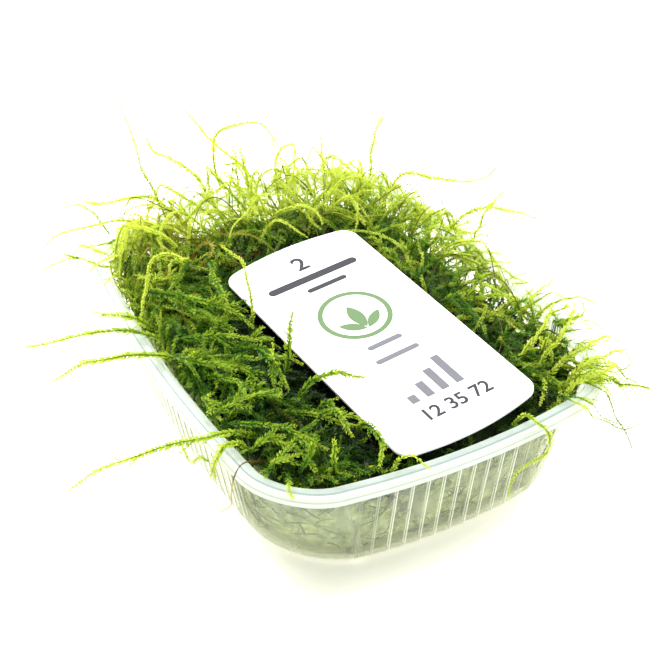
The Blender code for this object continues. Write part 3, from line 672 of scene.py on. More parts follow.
def ring_outline(x, y, radius, steps=48):
    return [(x + radius * math.cos(2 * math.pi * k / steps), y + radius * math.sin(2 * math.pi * k / steps))
            for k in range(steps)]


def bar(x, y, width, height):
    """A bar with round ends, about its centre."""
    radius, steps = height / 2, 8
    turns = [math.radians(-90 + 180 * step / steps) for step in range(steps + 1)]
    return [(x + side * (width / 2 - radius + radius * math.cos(turn)), y + side * radius * math.sin(turn))
            for side in (1, -1) for turn in turns]


def leaf_outline(x, y, length, width, turn):
    """A pointed oval from (x, y), turned from straight up."""
    steps = 12
    points = []
    for side in (1, -1):
        for step in range(steps):
            share = step / steps if side > 0 else 1 - step / steps
            across = side * width / 2 * math.sin(math.pi * share) ** 0.8
            along = length * share
            points.append((x + across * math.cos(turn) - along * math.sin(turn),
                           y + across * math.sin(turn) + along * math.cos(turn)))
    return points


def upright_bar(index):
    """One of the row of square bars that rise from left to right."""
    left, base = -0.0060 + 0.0034 * index, -0.0218
    right, top = left + 0.0018, base + (0.0022 + 0.0022 * index)
    return [(left, base), (right, base), (right, top), (left, top)]


def digits(words, x, y, size):
    """Plain heavy figures, centred on x."""
    text = bpy.data.curves.new("figures", "FONT")
    text.body = words
    text.size = size
    text.offset = size * 0.022
    text.align_x = "CENTER"
    text.extrude = PRINT_RELIEF / 2
    obj = bpy.data.objects.new("figures", text)
    obj.location = (x, y, 0.0)
    return obj


def make_card():
    """The card, with plain dark figures and bars on it, a green sprig in a ring, and grey bars."""
    here = card_matrix()
    on_top = here @ Matrix.Translation((0, 0, CARD_THICKNESS / 2 + PRINT_RELIEF / 2))
    card = flat_shape(card_outline(), thickness=CARD_THICKNESS)
    card_piece("card_white", [card], here, card_material(), "label_card", bevel=0.00008)

    dark = ink_material("ink_dark", (0.030, 0.030, 0.035), (0.050, 0.050, 0.055))
    numbers = [digits("2", 0.0, 0.0250, 0.0062), digits("12 35 72", 0.0012, -0.0270, 0.0044)]
    bars = [bar(0.0, 0.0218, 0.0215, 0.0020), bar(0.0010, 0.0180, 0.0095, 0.0013)]
    card_piece("card_print_dark", numbers + [flat_shape(points) for points in bars], on_top, dark)

    green = ink_material("ink_green", (0.100, 0.160, 0.075), (0.120, 0.190, 0.090))
    ring = flat_shape(ring_outline(0.0, 0.0062, 0.0076), ring_outline(0.0, 0.0062, 0.0065))
    sprig = [flat_shape(leaf_outline(0.0, 0.0018, 0.0075, 0.0030, 0.0))]
    sprig += [flat_shape(leaf_outline(side * 0.0002, 0.0014, 0.0058, 0.0022, math.radians(-52 * side)))
              for side in (1, -1)]
    card_piece("card_print_green", [ring] + sprig, on_top, green)

    grey = ink_material("ink_grey", (0.120, 0.120, 0.135), (0.150, 0.150, 0.165))
    bars = [bar(0.0, -0.0042, 0.0080, 0.0013), bar(0.0, -0.0085, 0.0100, 0.0013)]
    bars += [upright_bar(index) for index in range(4)]
    card_piece("card_print_grey", [flat_shape(points) for points in bars], on_top, grey)


# Routes of strands

def unit(vectors):
    return vectors / (np.linalg.norm(vectors, axis=-1, keepdims=True) + 1e-12)


def run_along(points):
    """How far along a line of points each of them lies."""
    return np.concatenate([[0], np.cumsum(np.linalg.norm(np.diff(points, axis=0), axis=1))])


def smooth_route(places):
    """Evenly spaced points along a smooth curve through the places."""
    knots = np.array(places)
    knots = np.vstack([2 * knots[0] - knots[1], knots, 2 * knots[-1] - knots[-2]])
    fine = []
    for a, b, c, d in zip(knots, knots[1:], knots[2:], knots[3:]):
        t = np.linspace(0, 1, 24, endpoint=False)[:, None]
        fine.append(0.5 * (2 * b + (c - a) * t + (2 * a - 5 * b + 4 * c - d) * t**2
                           + (3 * b - a - 3 * c + d) * t**3))
    fine = np.vstack(fine + [knots[-2][None]])
    run = run_along(fine)
    even = np.linspace(0, run[-1], max(3, int(run[-1] / NODE_STEP)))
    return np.stack([np.interp(even, run, fine[:, axis]) for axis in range(3)], 1)


class Ground:
    """The moss's upper surface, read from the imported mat, and the card's own frame."""

    CELL = 0.002

    def __init__(self, node):
        tree = BVHTree.FromObject(node, bpy.context.evaluated_depsgraph_get())
        self.xs = np.arange(-0.044, 0.0441, self.CELL)
        self.ys = np.arange(-0.058, 0.0581, self.CELL)
        heights = np.full((len(self.xs), len(self.ys)), np.nan)
        for i, x in enumerate(self.xs):
            for j, y in enumerate(self.ys):
                hit = tree.ray_cast(Vector((x, y, 0.1)), Vector((0, 0, -1)))[0]
                heights[i, j] = hit.z if hit and hit.z > LEDGE_HEIGHT - 0.002 else np.nan
        heights = np.where(np.isnan(heights), np.nanmin(heights), heights)
        padded = np.pad(heights, 2, mode="edge")
        rows, columns = heights.shape
        windows = np.stack([padded[i:i + rows, j:j + columns] for i in range(5) for j in range(5)])
        self.heights = np.percentile(windows, 35, axis=0)
        self.to_card = np.array(card_matrix().inverted())

    def height(self, x, y):
        u = np.clip((x - self.xs[0]) / self.CELL, 0, len(self.xs) - 1.001)
        v = np.clip((y - self.ys[0]) / self.CELL, 0, len(self.ys) - 1.001)
        i, j = u.astype(int), v.astype(int)
        a, b = u - i, v - j
        h = self.heights
        return ((1 - a) * (1 - b) * h[i, j] + a * (1 - b) * h[i + 1, j]
                + (1 - a) * b * h[i, j + 1] + a * b * h[i + 1, j + 1])

    def on_card(self, points):
        return points @ self.to_card[:3, :3].T + self.to_card[:3, 3]

    def beside_card(self, x, y):
        """(x, y) at the card's height, in the card's own frame."""
        return self.on_card(np.stack([x, y, np.full_like(x, CARD_CENTRE.z)], -1))

    def beyond_card(self, x, y):
        """Distance of (x, y) outside the card's edge; below zero over the card."""
        local = self.beside_card(x, y)
        return np.maximum(np.abs(local[..., 0]) - CARD_WIDTH / 2,
                          np.abs(local[..., 1]) - CARD_LENGTH / 2 - CARD_END_BOW)


def beyond_outline(x, y, inset, corner):
    """Signed distance of (x, y) to the bowed outline at an inset; below zero inside."""
    half_x, half_y = RIM_WIDTH / 2 - inset, RIM_LENGTH / 2 - inset
    flat_x = x / (1 - LONG_SIDE_BOW * np.minimum((y / half_y) ** 2, 1))
    flat_y = y / (1 - SHORT_SIDE_BOW * np.minimum((x / half_x) ** 2, 1))
    over_x, over_y = np.abs(flat_x) - (half_x - corner), np.abs(flat_y) - (half_y - corner)
    return (np.hypot(np.maximum(over_x, 0), np.maximum(over_y, 0))
            + np.minimum(np.maximum(over_x, over_y), 0) - corner)


def resampled(fine, length_limit):
    """Evenly spaced routes from finely drawn ones, padded to one width, and how many nodes each has."""
    run = np.cumsum(np.linalg.norm(np.diff(fine, axis=1), axis=2), axis=1)
    run = np.concatenate([np.zeros((len(fine), 1)), run], 1)
    total = np.minimum(run[:, -1], length_limit)
    counts = np.maximum(3, (total / NODE_STEP).astype(int))
    most = counts.max() + 1
    even = np.minimum(np.arange(most)[None, :] * NODE_STEP, run[:, -1:])
    routes = np.empty((len(fine), most, 3))
    for number in range(len(fine)):
        for axis in range(3):
            routes[number, :, axis] = np.interp(even[number], run[number], fine[number, :, axis])
    return routes, counts


def lay(rng, ground, x, y, heading, length, heights, bend):
    """Routes that wander over the moss, at given heights above it at the root, half way and at the tip."""
    steps = 40
    count = len(x)
    share = np.linspace(0, 1, steps)[None, :]
    climb = np.abs(heights[:, 1] - heights[:, 0]) + np.abs(heights[:, 2] - heights[:, 1])
    flat_length = np.sqrt(np.maximum(length**2 - climb**2, (0.35 * length) ** 2))
    waves = rng.uniform(5, 12, (count, 1)) * share + rng.uniform(0, 6.3, (count, 1))
    turn = rng.normal(0, bend, (count, 1)) * share + rng.normal(0, 0.28, (count, 1)) * np.sin(waves)
    angle = heading[:, None] + turn
    stride = (flat_length / (steps - 1))[:, None]
    along_x = x[:, None] + np.cumsum(stride * np.cos(angle), 1) - stride * np.cos(angle[:, :1])
    along_y = y[:, None] + np.cumsum(stride * np.sin(angle), 1) - stride * np.sin(angle[:, :1])
    root, middle, tip = (heights[:, k:k + 1] for k in range(3))
    above = (root * (1 - share) * (1 - 2 * share) + 4 * middle * share * (1 - share)
             + tip * share * (2 * share - 1))
    ripple = 0.0004 * rng.normal(0, 1, (count, 1)) * np.sin(1.7 * waves)
    fine = np.stack([along_x, along_y, ground.height(along_x, along_y) + above + ripple], 2)
    return resampled(fine, length * 1.15)


def trim(ground, routes, counts, may_cross):
    """Lifts shoots over the rim, and ends each before it enters the card, the tub's wall or a barred rim."""
    x, y, z = routes[..., 0], routes[..., 1], routes[..., 2]
    over = beyond_outline(x, y, WALL_INSET_TOP + WALL_CLEARANCE, OPENING_CORNER) > 0
    past_rim = beyond_outline(x, y, -OUTER_CLEARANCE, RIM_CORNER)
    outer = past_rim > 0
    above_rim = TUB_HEIGHT + RIM_CLEARANCE
    near_top = z > TUB_HEIGHT - RIM_REACH
    routes[..., 2] += np.where(over & ~outer & near_top, np.clip(above_rim - z, 0, None), 0)
    droop = above_rim - STRAND_DROOP * np.clip(past_rim, 0, None)
    routes[..., 2] = np.where(outer, np.maximum(routes[..., 2], droop), routes[..., 2])
    stuck = over & ~outer & ~near_top
    barred = over & (routes[..., 2] < TUB_HEIGHT + RIM_REACH) & ~may_cross[:, None]

    local = ground.on_card(routes.reshape(-1, 3)).reshape(routes.shape)
    across, along, above = local[..., 0], local[..., 1], local[..., 2]
    half_width, half_length, margin = CARD_WIDTH / 2, CARD_LENGTH / 2, 0.0007
    covered = (np.abs(across) < half_width + margin) & (np.abs(along) < half_length + CARD_END_BOW + margin)
    in_card = covered & (above > -CARD_THICKNESS / 2 - CARD_CLEARANCE - 0.0006) & (above < 0.0030)
    by_side = (np.abs(across + half_width) < CARD_GAP) & (np.abs(along + 0.006) < half_length)
    by_end = (np.abs(along + half_length) < CARD_GAP + CARD_END_BOW) & (np.abs(across) < 0.012)
    in_gap = (by_side | by_end) & (above > -0.0042) & (above < 0.0012)
    bad = stuck | barred | in_card | in_gap
    first = np.where(bad.any(1), bad.argmax(1), routes.shape[1])
    return np.minimum(counts, first)


def stacked(*groups):
    """Joins (routes, counts) of different widths."""
    widest = max(routes.shape[1] for routes, _ in groups)
    widened = [np.pad(routes, ((0, 0), (0, widest - routes.shape[1]), (0, 0)), mode="edge")
               for routes, _ in groups]
    return np.concatenate(widened), np.concatenate([counts for _, counts in groups])


def twigs(rng, ground, routes, counts, number, longest):
    """Short side shoots that leave the given routes at random nodes, and the route that each leaves."""
    pick = rng.choice(len(routes), number)
    at = np.clip((counts[pick] * rng.uniform(0.2, 0.85, number)).astype(int), 1, routes.shape[1] - 2)
    ahead = unit(routes[pick, at + 1] - routes[pick, at - 1])
    aside = np.cross(ahead, UP) * rng.choice([-1, 1], number)[:, None]
    aside = unit(aside + rng.normal(0, 0.30, (number, 3)))
    length = rng.uniform(0.3, 1.0, number) * longest
    share = np.linspace(0, 1, 10)[None, :, None]
    droop = UP * rng.normal(0.1, 0.2, (number, 1, 1))
    fine = routes[pick, at][:, None, :] + length[:, None, None] * (
        share * (0.72 * ahead + 0.66 * aside)[:, None, :] + share**2 * (0.25 * ahead[:, None, :] + droop))
    made, made_counts = resampled(fine, length)
    made_counts = trim(ground, made, np.where(at < counts[pick], made_counts, 0), np.full(number, True))
    return made, made_counts, pick


# Leafy strands

def stem_arrays(routes, counts, side, up, radius):
    """Points and triangles of three-sided stems through every second node, and which nodes those are."""
    index = np.arange(routes.shape[1])[None, :]
    kept = (index < counts[:, None]) & ((index % 2 == 0) | (index == counts[:, None] - 1))
    turns = (2 * math.pi * np.arange(3) / 3)[None, :, None]
    around = side[kept][:, None, :] * np.cos(turns) + up[kept][:, None, :] * np.sin(turns)
    points = routes[kept][:, None, :] + radius[kept][:, None, None] * around
    strand = np.argwhere(kept)[:, 0]
    linked = np.flatnonzero(strand[1:] == strand[:-1])[:, None]
    corner = np.arange(3)
    low, high = 3 * linked + corner, 3 * (linked + 1) + corner
    low_next, high_next = 3 * linked + (corner + 1) % 3, 3 * (linked + 1) + (corner + 1) % 3
    faces = [np.stack([low, low_next, high_next], 2), np.stack([low, high_next, high], 2)]
    return points.reshape(-1, 3), np.concatenate(faces).reshape(-1, 3), kept


def leaf_arrays(rng, base, along, outward, up, size, opening, folded):
    """One pointed leaf at each node, outward from the stem: points, faces' corners and extra freshness
    towards the tip, partly the leaf's own paler tip and partly painted light.
    """
    number = len(base)
    spread = np.radians(opening + rng.normal(0, 8, number))[:, None]
    rise = np.radians(rng.normal(14, 16, number))[:, None]
    ahead = along * np.cos(spread) + (outward * np.cos(rise) + up * np.sin(rise)) * np.sin(spread)
    across = unit(np.cross(up, ahead))
    long = (size * rng.uniform(0.82, 1.15, number))[:, None]
    wide = long * (LEAF_WIDTH / LEAF_LENGTH) * 0.5
    foot = base + along * rng.uniform(-0.3, 0.3, number)[:, None] * NODE_STEP
    tip = foot + (ahead * 0.92 + along * 0.20) * long
    if folded:
        middle, lifted = foot + ahead * long * 0.42, np.cross(ahead, across) * wide * 0.35
        corners = foot, middle + across * wide + lifted, tip, middle - across * wide + lifted
        return np.stack(corners, 1), ((0, 1, 2), (0, 2, 3)), (0.0, 0.08, 0.20, 0.08)
    low = foot + ahead * long * 0.12
    return np.stack([low - along * wide, tip, low + along * wide], 1), ((0, 1, 2),), (0.0, 0.20, 0.0)


def leafy_arrays(rng, strands, sparse=1, folded=False):
    """Points, triangles and values of leafy stems, with a pair of leaves at each node.

    Strands are a dictionary of their routes and node counts, leaf and stem sizes, freshness with painted
    light and shade at each node, dryness, and the opening between stem and leaf in degrees. The leaves spread
    level, rolled a little, or square to the facing directions where there are any. Folded leaves have two
    faces.
    """
    routes, counts, facing = strands["routes"], strands["counts"], strands.get("facing")
    index = np.arange(routes.shape[1])[None, :]
    keep = index < counts[:, None]
    tangent = unit(np.gradient(routes, axis=1))
    flat = np.cross(tangent, UP if facing is None else facing)
    level = np.linalg.norm(flat, axis=2, keepdims=True)
    flat = np.where(level > 0.05, flat / (level + 1e-12), np.array([1.0, 0.0, 0.0]))
    roll = rng.uniform(-0.9, 0.9, (len(routes), 1)) + rng.normal(0, 0.02, (len(routes), 1)) * index
    roll = ((roll if facing is None else 0.25 * roll) + RANK_TURN * np.where(index % 2, 1, -1))[..., None]
    side = flat * np.cos(roll) + np.cross(flat, tangent) * np.sin(roll)
    up = np.cross(side, tangent)
    along = np.clip(index / np.maximum(counts[:, None] - 1, 1), 0, 1)
    fresh = np.broadcast_to(strands["fresh"], keep.shape)
    dry = np.broadcast_to(strands["dry"][:, None], keep.shape)

    radius = strands["stem"][:, None] * (1 - 0.55 * along)
    stem_points, stem_faces, on_stem = stem_arrays(routes, counts, side, up, radius)
    points, faces = [stem_points], [stem_faces]
    freshness_and_painted_light = [np.repeat(fresh[on_stem] * 0.85, 3)]
    dryness = [np.repeat(np.clip(dry[on_stem] + 0.12, 0, 1), 3)]

    leafy = keep & (index % sparse == 0) & (index > 0)
    size = strands["leaf"][:, None] * (1 - 0.5 * along**4) * (0.75 + 0.25 * np.minimum(index / 4, 1))
    opening = np.broadcast_to(strands["opening"][:, None], keep.shape)
    start, number = len(stem_points), int(leafy.sum())
    for sign in (1, -1):
        corners, shapes, paler_tip_and_painted_light = leaf_arrays(rng, routes[leafy], tangent[leafy], sign * side[leafy],
                                             up[leafy], size[leafy], opening[leafy], folded)
        light = fresh[leafy] + rng.normal(0, 0.06, number)
        at = start + len(paler_tip_and_painted_light) * np.arange(number)[:, None]
        points.append(corners.reshape(-1, 3))
        faces += [at + np.array([shape]) for shape in shapes]
        # Leaves lighter towards the tip: partly their own colour, partly painted light
        freshness_and_painted_light.append((light[:, None] + np.array([paler_tip_and_painted_light])).ravel())
        dryness.append(np.repeat(dry[leafy], len(paler_tip_and_painted_light)))
        start += len(paler_tip_and_painted_light) * number
    values = {"fresh": np.clip(np.concatenate(freshness_and_painted_light), 0, 1),
              "dry": np.clip(np.concatenate(dryness), 0, 1)}
    return np.concatenate(points), np.concatenate(faces), values


def strands_in_pieces(rng, look, name, folded=False, **strands):
    """Makes leafy meshes of the strands, each small enough."""
    remaining = np.arange(len(strands["routes"]))
    for letter in "abcdef":
        if not len(remaining):
            break
        nodes = np.cumsum(strands["counts"][remaining])
        fits = max(1, int(np.searchsorted(nodes, MOST_TRIANGLES / TRIANGLES_PER_NODE)))
        part, remaining = remaining[:fits], remaining[fits:]
        arrays = leafy_arrays(rng, {key: values[part] for key, values in strands.items()}, folded=folded)
        points, faces, values = arrays
        mesh_object(f"moss_{name}_{letter}", points, faces, look, "moss_mat", values)


def single(rng, route, leaf_share, stem_share, fresh, dry, sparse=1):
    """Arrays of one shoot along a given route."""
    strand = {"routes": route[None], "counts": np.array([len(route)]), "fresh": fresh, "dry": np.array([dry]),
              "leaf": np.array([LEAF_LENGTH * leaf_share]), "stem": np.array([STEM_RADIUS * stem_share]),
              "opening": np.array([LEAF_OPENING])}
    return leafy_arrays(rng, strand, sparse, folded=True)


def side_shoot(rng, route, at, lengths, leaf_share, fresh, dry):
    """A short shoot that leaves the route at one of its nodes."""
    tangent = route[at + 1] - route[at - 1]
    tangent /= np.linalg.norm(tangent)
    side = np.cross(tangent, rng.normal(0, 1, 3))
    side /= np.linalg.norm(side)
    length = rng.uniform(*lengths)
    t = np.linspace(0, 1, max(4, int(length / NODE_STEP)))[:, None]
    twig = route[at] + length * (t * (0.75 * tangent + 0.65 * side) + 0.2 * t**2 * tangent)
    return single(rng, twig, leaf_share, 0.7, fresh, dry)


def joined(parts):
    """Several (points, faces, values) as one."""
    starts = np.cumsum([0] + [len(points) for points, _, _ in parts])
    values = {key: np.concatenate([numbers[key] for _, _, numbers in parts]) for key in ("fresh", "dry")}
    return (np.concatenate([points for points, _, _ in parts]),
            np.concatenate([faces + start for (_, faces, _), start in zip(parts, starts)]), values)


def make_loose_shoots(look):
    """Each long shoot on its own route, with a few short side shoots."""
    rng = np.random.default_rng(11)
    for name, (kind, *places) in SHOOTS.items():
        leaf_share, stem_share, freshness_and_painted_light = kind
        route = smooth_route(places)
        count = len(route)
        along = np.linspace(0, 1, count)
        wobble = [np.sin(along * rng.uniform(14, 22) + rng.uniform(0, 6)) for _ in range(3)]
        route = route + 0.00012 * np.stack(wobble, 1) * np.minimum(along * 6, 1)[:, None]
        dry = 0.9 if kind is DEAD else 0.55 if kind is BARE else 0.0
        # Paler towards the tip; the kind's freshness is partly painted light
        fresh = 0.25 + 0.75 * (along > 0.5) if kind is DEAD else freshness_and_painted_light - 0.15 + 0.35 * along
        sparse = 3 if kind in (BARE, DEAD) else 1
        parts = [single(rng, route, leaf_share, stem_share, fresh, dry, sparse)]
        if kind in (LEAFY, BRIGHT, PLUMP, FAT):
            for _ in range(rng.integers(2, 5)):
                at = rng.integers(count // 4, count - 4)
                parts.append(side_shoot(rng, route, at, (0.0012, 0.0034), 0.75, freshness_and_painted_light + 0.10, dry))
        points, faces, values = joined(parts)
        mesh_object(f"shoot_{name}_leafy", points, faces, look, "shoot_" + name, values)


def make_fronds(look):
    """The plump bright shoots that show on the left of the tangle, on their own routes."""
    rng = np.random.default_rng(17)
    parts = []
    for places in FRONDS:
        route = smooth_route(places)
        size = rng.uniform(0.95, 1.2)
        fresh = rng.uniform(0.36, 0.52) + 0.28 * np.linspace(0, 1, len(route))
        parts.append(single(rng, route, size, 1.4, fresh, 0.0))
        for _ in range(rng.integers(3, 6)):
            at = rng.integers(len(route) // 5, len(route) - 3)
            parts.append(side_shoot(rng, route, at, (0.0020, 0.0050), 0.95, 0.60, 0.0))
    points, faces, values = joined(parts)
    mesh_object("moss_fronds", points, faces, look, "moss_mat", values)


# The tangle

def away(place, x, y):
    """Distance of (x, y) from a place."""
    return np.hypot(x - place[0], y - place[1])


# The dense lump in the far left corner, the middle of the corner that is packed, and a patch of rusty strands
LUMP = (-0.030, 0.026)
PACKED_CORNER = (-0.030, 0.030)
RUSTY_PATCH = (-0.024, 0.032)

# Where the tangle grows: a test on (x, y), the number of strands, their ranges of length and of height above
# the ground at the root, middle and tip, their main heading or None for outward, its spread and their bend,
# and the shares of short tips, of side shoots, and of strands that may cross the rim. Then the same for the
# strands that lie loose on top, with the share of them that is bare, and their leaves' size and freshness,
# which is partly painted light, highest at the back where they are backlit.
REGIONS = {
    "corner": dict(
        where=lambda x, y: away(LUMP, x, y) < 0.011,
        count=150, length=(0.007, 0.017), root=(-0.005, -0.001), middle=(-0.0015, 0.0022),
        tip=(-0.0030, 0.0030), heading=None, spread=2.0, bend=1.8,
        tips=0.20, twigs=0.8, crossing=0.05,
        top=dict(count=16, length=(0.008, 0.018), middle=(0.001, 0.0030), tip=(-0.002, 0.0040), bare=0.30,
                 size=0.85, fresh=0.60)),
    "back": dict(
        where=lambda x, y: (y > 0.022) & (away(LUMP, x, y) > 0.009),
        count=185, length=(0.013, 0.034), root=(-0.006, -0.001), middle=(-0.002, 0.0056),
        tip=(-0.007, 0.0030), heading=None, spread=1.6, bend=2.2,
        tips=0.08, twigs=0.5, crossing=0.30,
        top=dict(count=80, length=(0.016, 0.040), middle=(0.002, 0.0092), tip=(-0.007, 0.0060), bare=0.30,
                 size=0.85, fresh=1.04)),
    "right": dict(
        where=lambda x, y: (x > 0.012) & (y <= 0.022),
        count=290, length=(0.010, 0.026), root=(-0.005, -0.001), middle=(-0.002, 0.0036),
        tip=(-0.004, 0.0040), heading=None, spread=1.1, bend=1.6,
        tips=0.15, twigs=0.6, crossing=0.75,
        top=dict(count=90, length=(0.011, 0.028), middle=(0.001, 0.0056), tip=(-0.003, 0.0060), bare=0.25,
                 size=0.85, fresh=0.80)),
    "left": dict(
        where=lambda x, y: (x <= 0.012) & (y <= 0.022) & (y > -0.030),
        count=520, length=(0.012, 0.028), root=(-0.004, -0.001), middle=(-0.0022, 0.0012),
        tip=(-0.002, 0.0022), heading=math.radians(-62), spread=0.60, bend=0.6,
        tips=0.25, twigs=1.1, crossing=0.02,
        top=dict(count=42, length=(0.012, 0.026), middle=(0.0004, 0.0020), tip=(-0.0005, 0.0035), bare=0.04,
                 size=1.15, fresh=0.50)),
    "front": dict(
        where=lambda x, y: (x <= 0.012) & (y <= -0.030),
        count=330, length=(0.009, 0.020), root=(-0.0035, -0.001), middle=(-0.0018, 0.0012),
        tip=(-0.002, 0.0030), heading=math.radians(-60), spread=0.8, bend=0.8,
        tips=0.30, twigs=1.1, crossing=0.03,
        top=dict(count=24, length=(0.010, 0.020), middle=(0.0004, 0.0020), tip=(0.0000, 0.0045), bare=0.03,
                 size=1.15, fresh=0.46)),
}

# How far strands start, arch and end deeper where the tangle is loose
LOOSE_DEPTH = np.array([0.0080, 0.0045, 0.0040])
HOLLOW_DEPTH = 0.0036
KEPT_OUT_WHERE_LOOSE = 0.86


def hollow(ground, x, y):
    """How much of the dark hollow beside the card there is, on its left and front: 0 to 1."""
    local = ground.beside_card(x, y)
    across, along = local[..., 0], local[..., 1]
    left = np.clip(1.15 - np.abs(-across - CARD_WIDTH / 2 - 0.002) / 0.0080, 0, 1) * (along < 0.020)
    front = np.clip(1 - np.abs(-along - CARD_LENGTH / 2 - 0.002) / 0.0040, 0, 1)
    return np.maximum(left, front * (np.abs(across) < CARD_WIDTH / 2 + 0.003))


def looseness(x, y):
    """How loose the tangle is: 0 where packed, 1 by the back and right walls, where light comes through."""
    back = np.clip((y - 0.029) / 0.012, 0, 1)
    right = np.clip((x - 0.023) / 0.010, 0, 1) * np.clip((y + 0.030) / 0.022, 0, 1)
    beyond_corner = np.clip((away(PACKED_CORNER, x, y) - 0.006) / 0.005, 0, 1)
    return np.maximum(back, right) * beyond_corner


def scatter(rng, ground, count, test):
    """Random places in the opening that pass the test, none far under the card, fewer where it is loose."""
    x, y = rng.uniform(-0.040, 0.040, 60 * count), rng.uniform(-0.053, 0.053, 60 * count)
    inside = beyond_outline(x, y, WALL_INSET_TOP + WALL + WALL_CLEARANCE, OPENING_CORNER) < 0
    kept = rng.uniform(0, 1, len(x)) > KEPT_OUT_WHERE_LOOSE * looseness(x, y)
    good = inside & kept & test(x, y) & (ground.beyond_card(x, y) > -0.0025)
    return x[good][:count], y[good][:count]


def strand_routes(rng, ground, region, layer, number, shorter=1.0, wider=1.0, looser=1.0, lift=0.0):
    """Random strands of a region, with the lengths and heights of one of its layers."""
    x, y = scatter(rng, ground, number, region["where"])
    number = len(x)
    heading = np.arctan2(y * 0.8, x) if region["heading"] is None else np.full(number, region["heading"])
    heading = heading + rng.normal(0, wider * region["spread"], number)
    ranges = region["root"], layer["middle"], layer["tip"]
    heights = np.stack([rng.uniform(*limits, number) for limits in ranges], 1)
    calm = np.clip(ground.beyond_card(x, y) / 0.008, 0.15, 1.0)
    heights[:, 1:] *= np.where(heights[:, 1:] > 0, calm[:, None], 1.0)
    heights[:, 2] += rng.uniform(0.0, lift, number) * (heights[:, 2] < lift)
    heights -= HOLLOW_DEPTH * hollow(ground, x, y)[:, None]
    heights -= looseness(x, y)[:, None] * rng.uniform(0, 1, (number, 3)) * LOOSE_DEPTH
    shortest, longest = layer["length"]
    length = rng.uniform(shorter * shortest, shorter * longest, number)
    routes, counts = lay(rng, ground, x, y, heading, length, heights, looser * region["bend"])
    return routes, trim(ground, routes, counts, rng.uniform(0, 1, number) < region["crossing"])


def share_along(routes, counts):
    """The share of its strand that lies before each node."""
    return np.clip(np.arange(routes.shape[1])[None, :] / counts[:, None], 0, 1)


def make_region(rng, ground, look, name, region):
    """One part of the tangle: long strands, short upright tips between them, and side shoots on both."""
    count = region["count"]
    routes, counts = stacked(
        strand_routes(rng, ground, region, region, count),
        strand_routes(rng, ground, region, region, int(region["tips"] * count), shorter=0.42, wider=2,
                      lift=0.0022))
    side_routes, side_counts, _ = twigs(rng, ground, routes, counts, int(region["twigs"] * count), 0.0050)
    routes, counts = stacked((routes, counts), (side_routes, side_counts))
    keep = counts > 4
    routes, counts, number = routes[keep], counts[keep], int(keep.sum())

    # Where each node lies, from 0 to 1 in each respect, and its tone from that: partly its own freshness,
    # partly painted light and shade, lighter high up, towards the back, where loose, where backlit and
    # outside the rim, and darker in the hollow beside the card
    x, y, z = routes[..., 0], routes[..., 1], routes[..., 2]
    above = np.clip((z - (ground.height(x, y) - 0.0030)) / 0.0075, 0, 1)
    far = np.clip(0.5 + (y * 0.85 + np.abs(x) * 0.35 - 0.016) / 0.060, 0, 1)
    loose = looseness(x, y)
    left_edge = np.clip((-x - 0.019) / 0.014, 0, 1) * np.clip((y + 0.030) / 0.020, 0, 1)
    right_side = np.clip((x - 0.008) / 0.010, 0, 1)
    backlit = np.clip((y - 0.027) / 0.010, 0, 1)
    outside = np.clip(beyond_outline(x, y, WALL_INSET_TOP, RIM_CORNER) / 0.003, 0, 1)
    fresh = (rng.normal(-0.08, 0.12, (number, 1)) + 0.34 * far - 0.30 * hollow(ground, x, y)
             + 0.52 * above + 0.12 * share_along(routes, counts)**2 + 0.42 * loose + 0.20 * left_edge
             + 0.14 * right_side + 0.35 * outside + 0.36 * backlit)
    dry = np.clip(rng.normal(-0.5, 0.35, number), 0, 0.8)
    rusty = away(RUSTY_PATCH, x[:, 0], y[:, 0]) < 0.009
    dry = np.where(rusty & (rng.uniform(0, 1, number) < 0.5), 0.75, dry)
    leaf = LEAF_LENGTH * rng.uniform(0.65, 1.12, number) * (1 - 0.25 * loose[:, 0])
    stem = STEM_RADIUS * rng.uniform(0.7, 1.2, number)
    strands_in_pieces(rng, look, name, routes=routes, counts=counts, leaf=leaf, stem=stem, fresh=fresh,
                      dry=dry, opening=LEAF_OPENING - 16 * loose[:, 0])


def make_top_strands(rng, ground, look, name, region):
    """The strands that lie loose on one part of the tangle: most leafy and bright, some bare and brown."""
    top = region["top"]
    routes, counts = strand_routes(rng, ground, region, top, top["count"], wider=0.8, looser=0.8)
    side_routes, side_counts, parent = twigs(rng, ground, routes, counts, int(0.9 * top["count"]), 0.0042)
    bare = rng.uniform(0, 1, len(routes)) < top["bare"]
    counts = trim(ground, routes, counts, ~bare)
    side_counts = np.where(bare[parent], 0, side_counts)
    bare = np.append(bare, np.zeros(len(parent), bool))
    routes, counts = stacked((routes, counts), (side_routes, side_counts))
    keep = counts > 5
    routes, counts, bare, number = routes[keep], counts[keep], bare[keep], int(keep.sum())
    # Freshness of the strands on top, partly painted light: highest on the back, where they are backlit
    fresh = top["fresh"] + rng.normal(0, 0.10, (number, 1)) - 0.22 + 0.34 * share_along(routes, counts)
    dry = np.where(bare, rng.uniform(0.1, 0.7, number), 0.0)
    leaf = LEAF_LENGTH * top["size"] * rng.uniform(0.85, 1.1, number) * np.where(bare, 0.30, 1.0)
    stem = STEM_RADIUS * rng.uniform(1.0, 1.5, number) * np.where(bare, 0.8, 1.0)
    strands_in_pieces(rng, look, "top_" + name, folded=True, routes=routes, counts=counts, leaf=leaf,
                      stem=stem, fresh=fresh * np.where(bare, 0.6, 1.0)[:, None], dry=dry,
                      opening=LEAF_OPENING - 14 * looseness(routes[:, 0, 0], routes[:, 0, 1]))


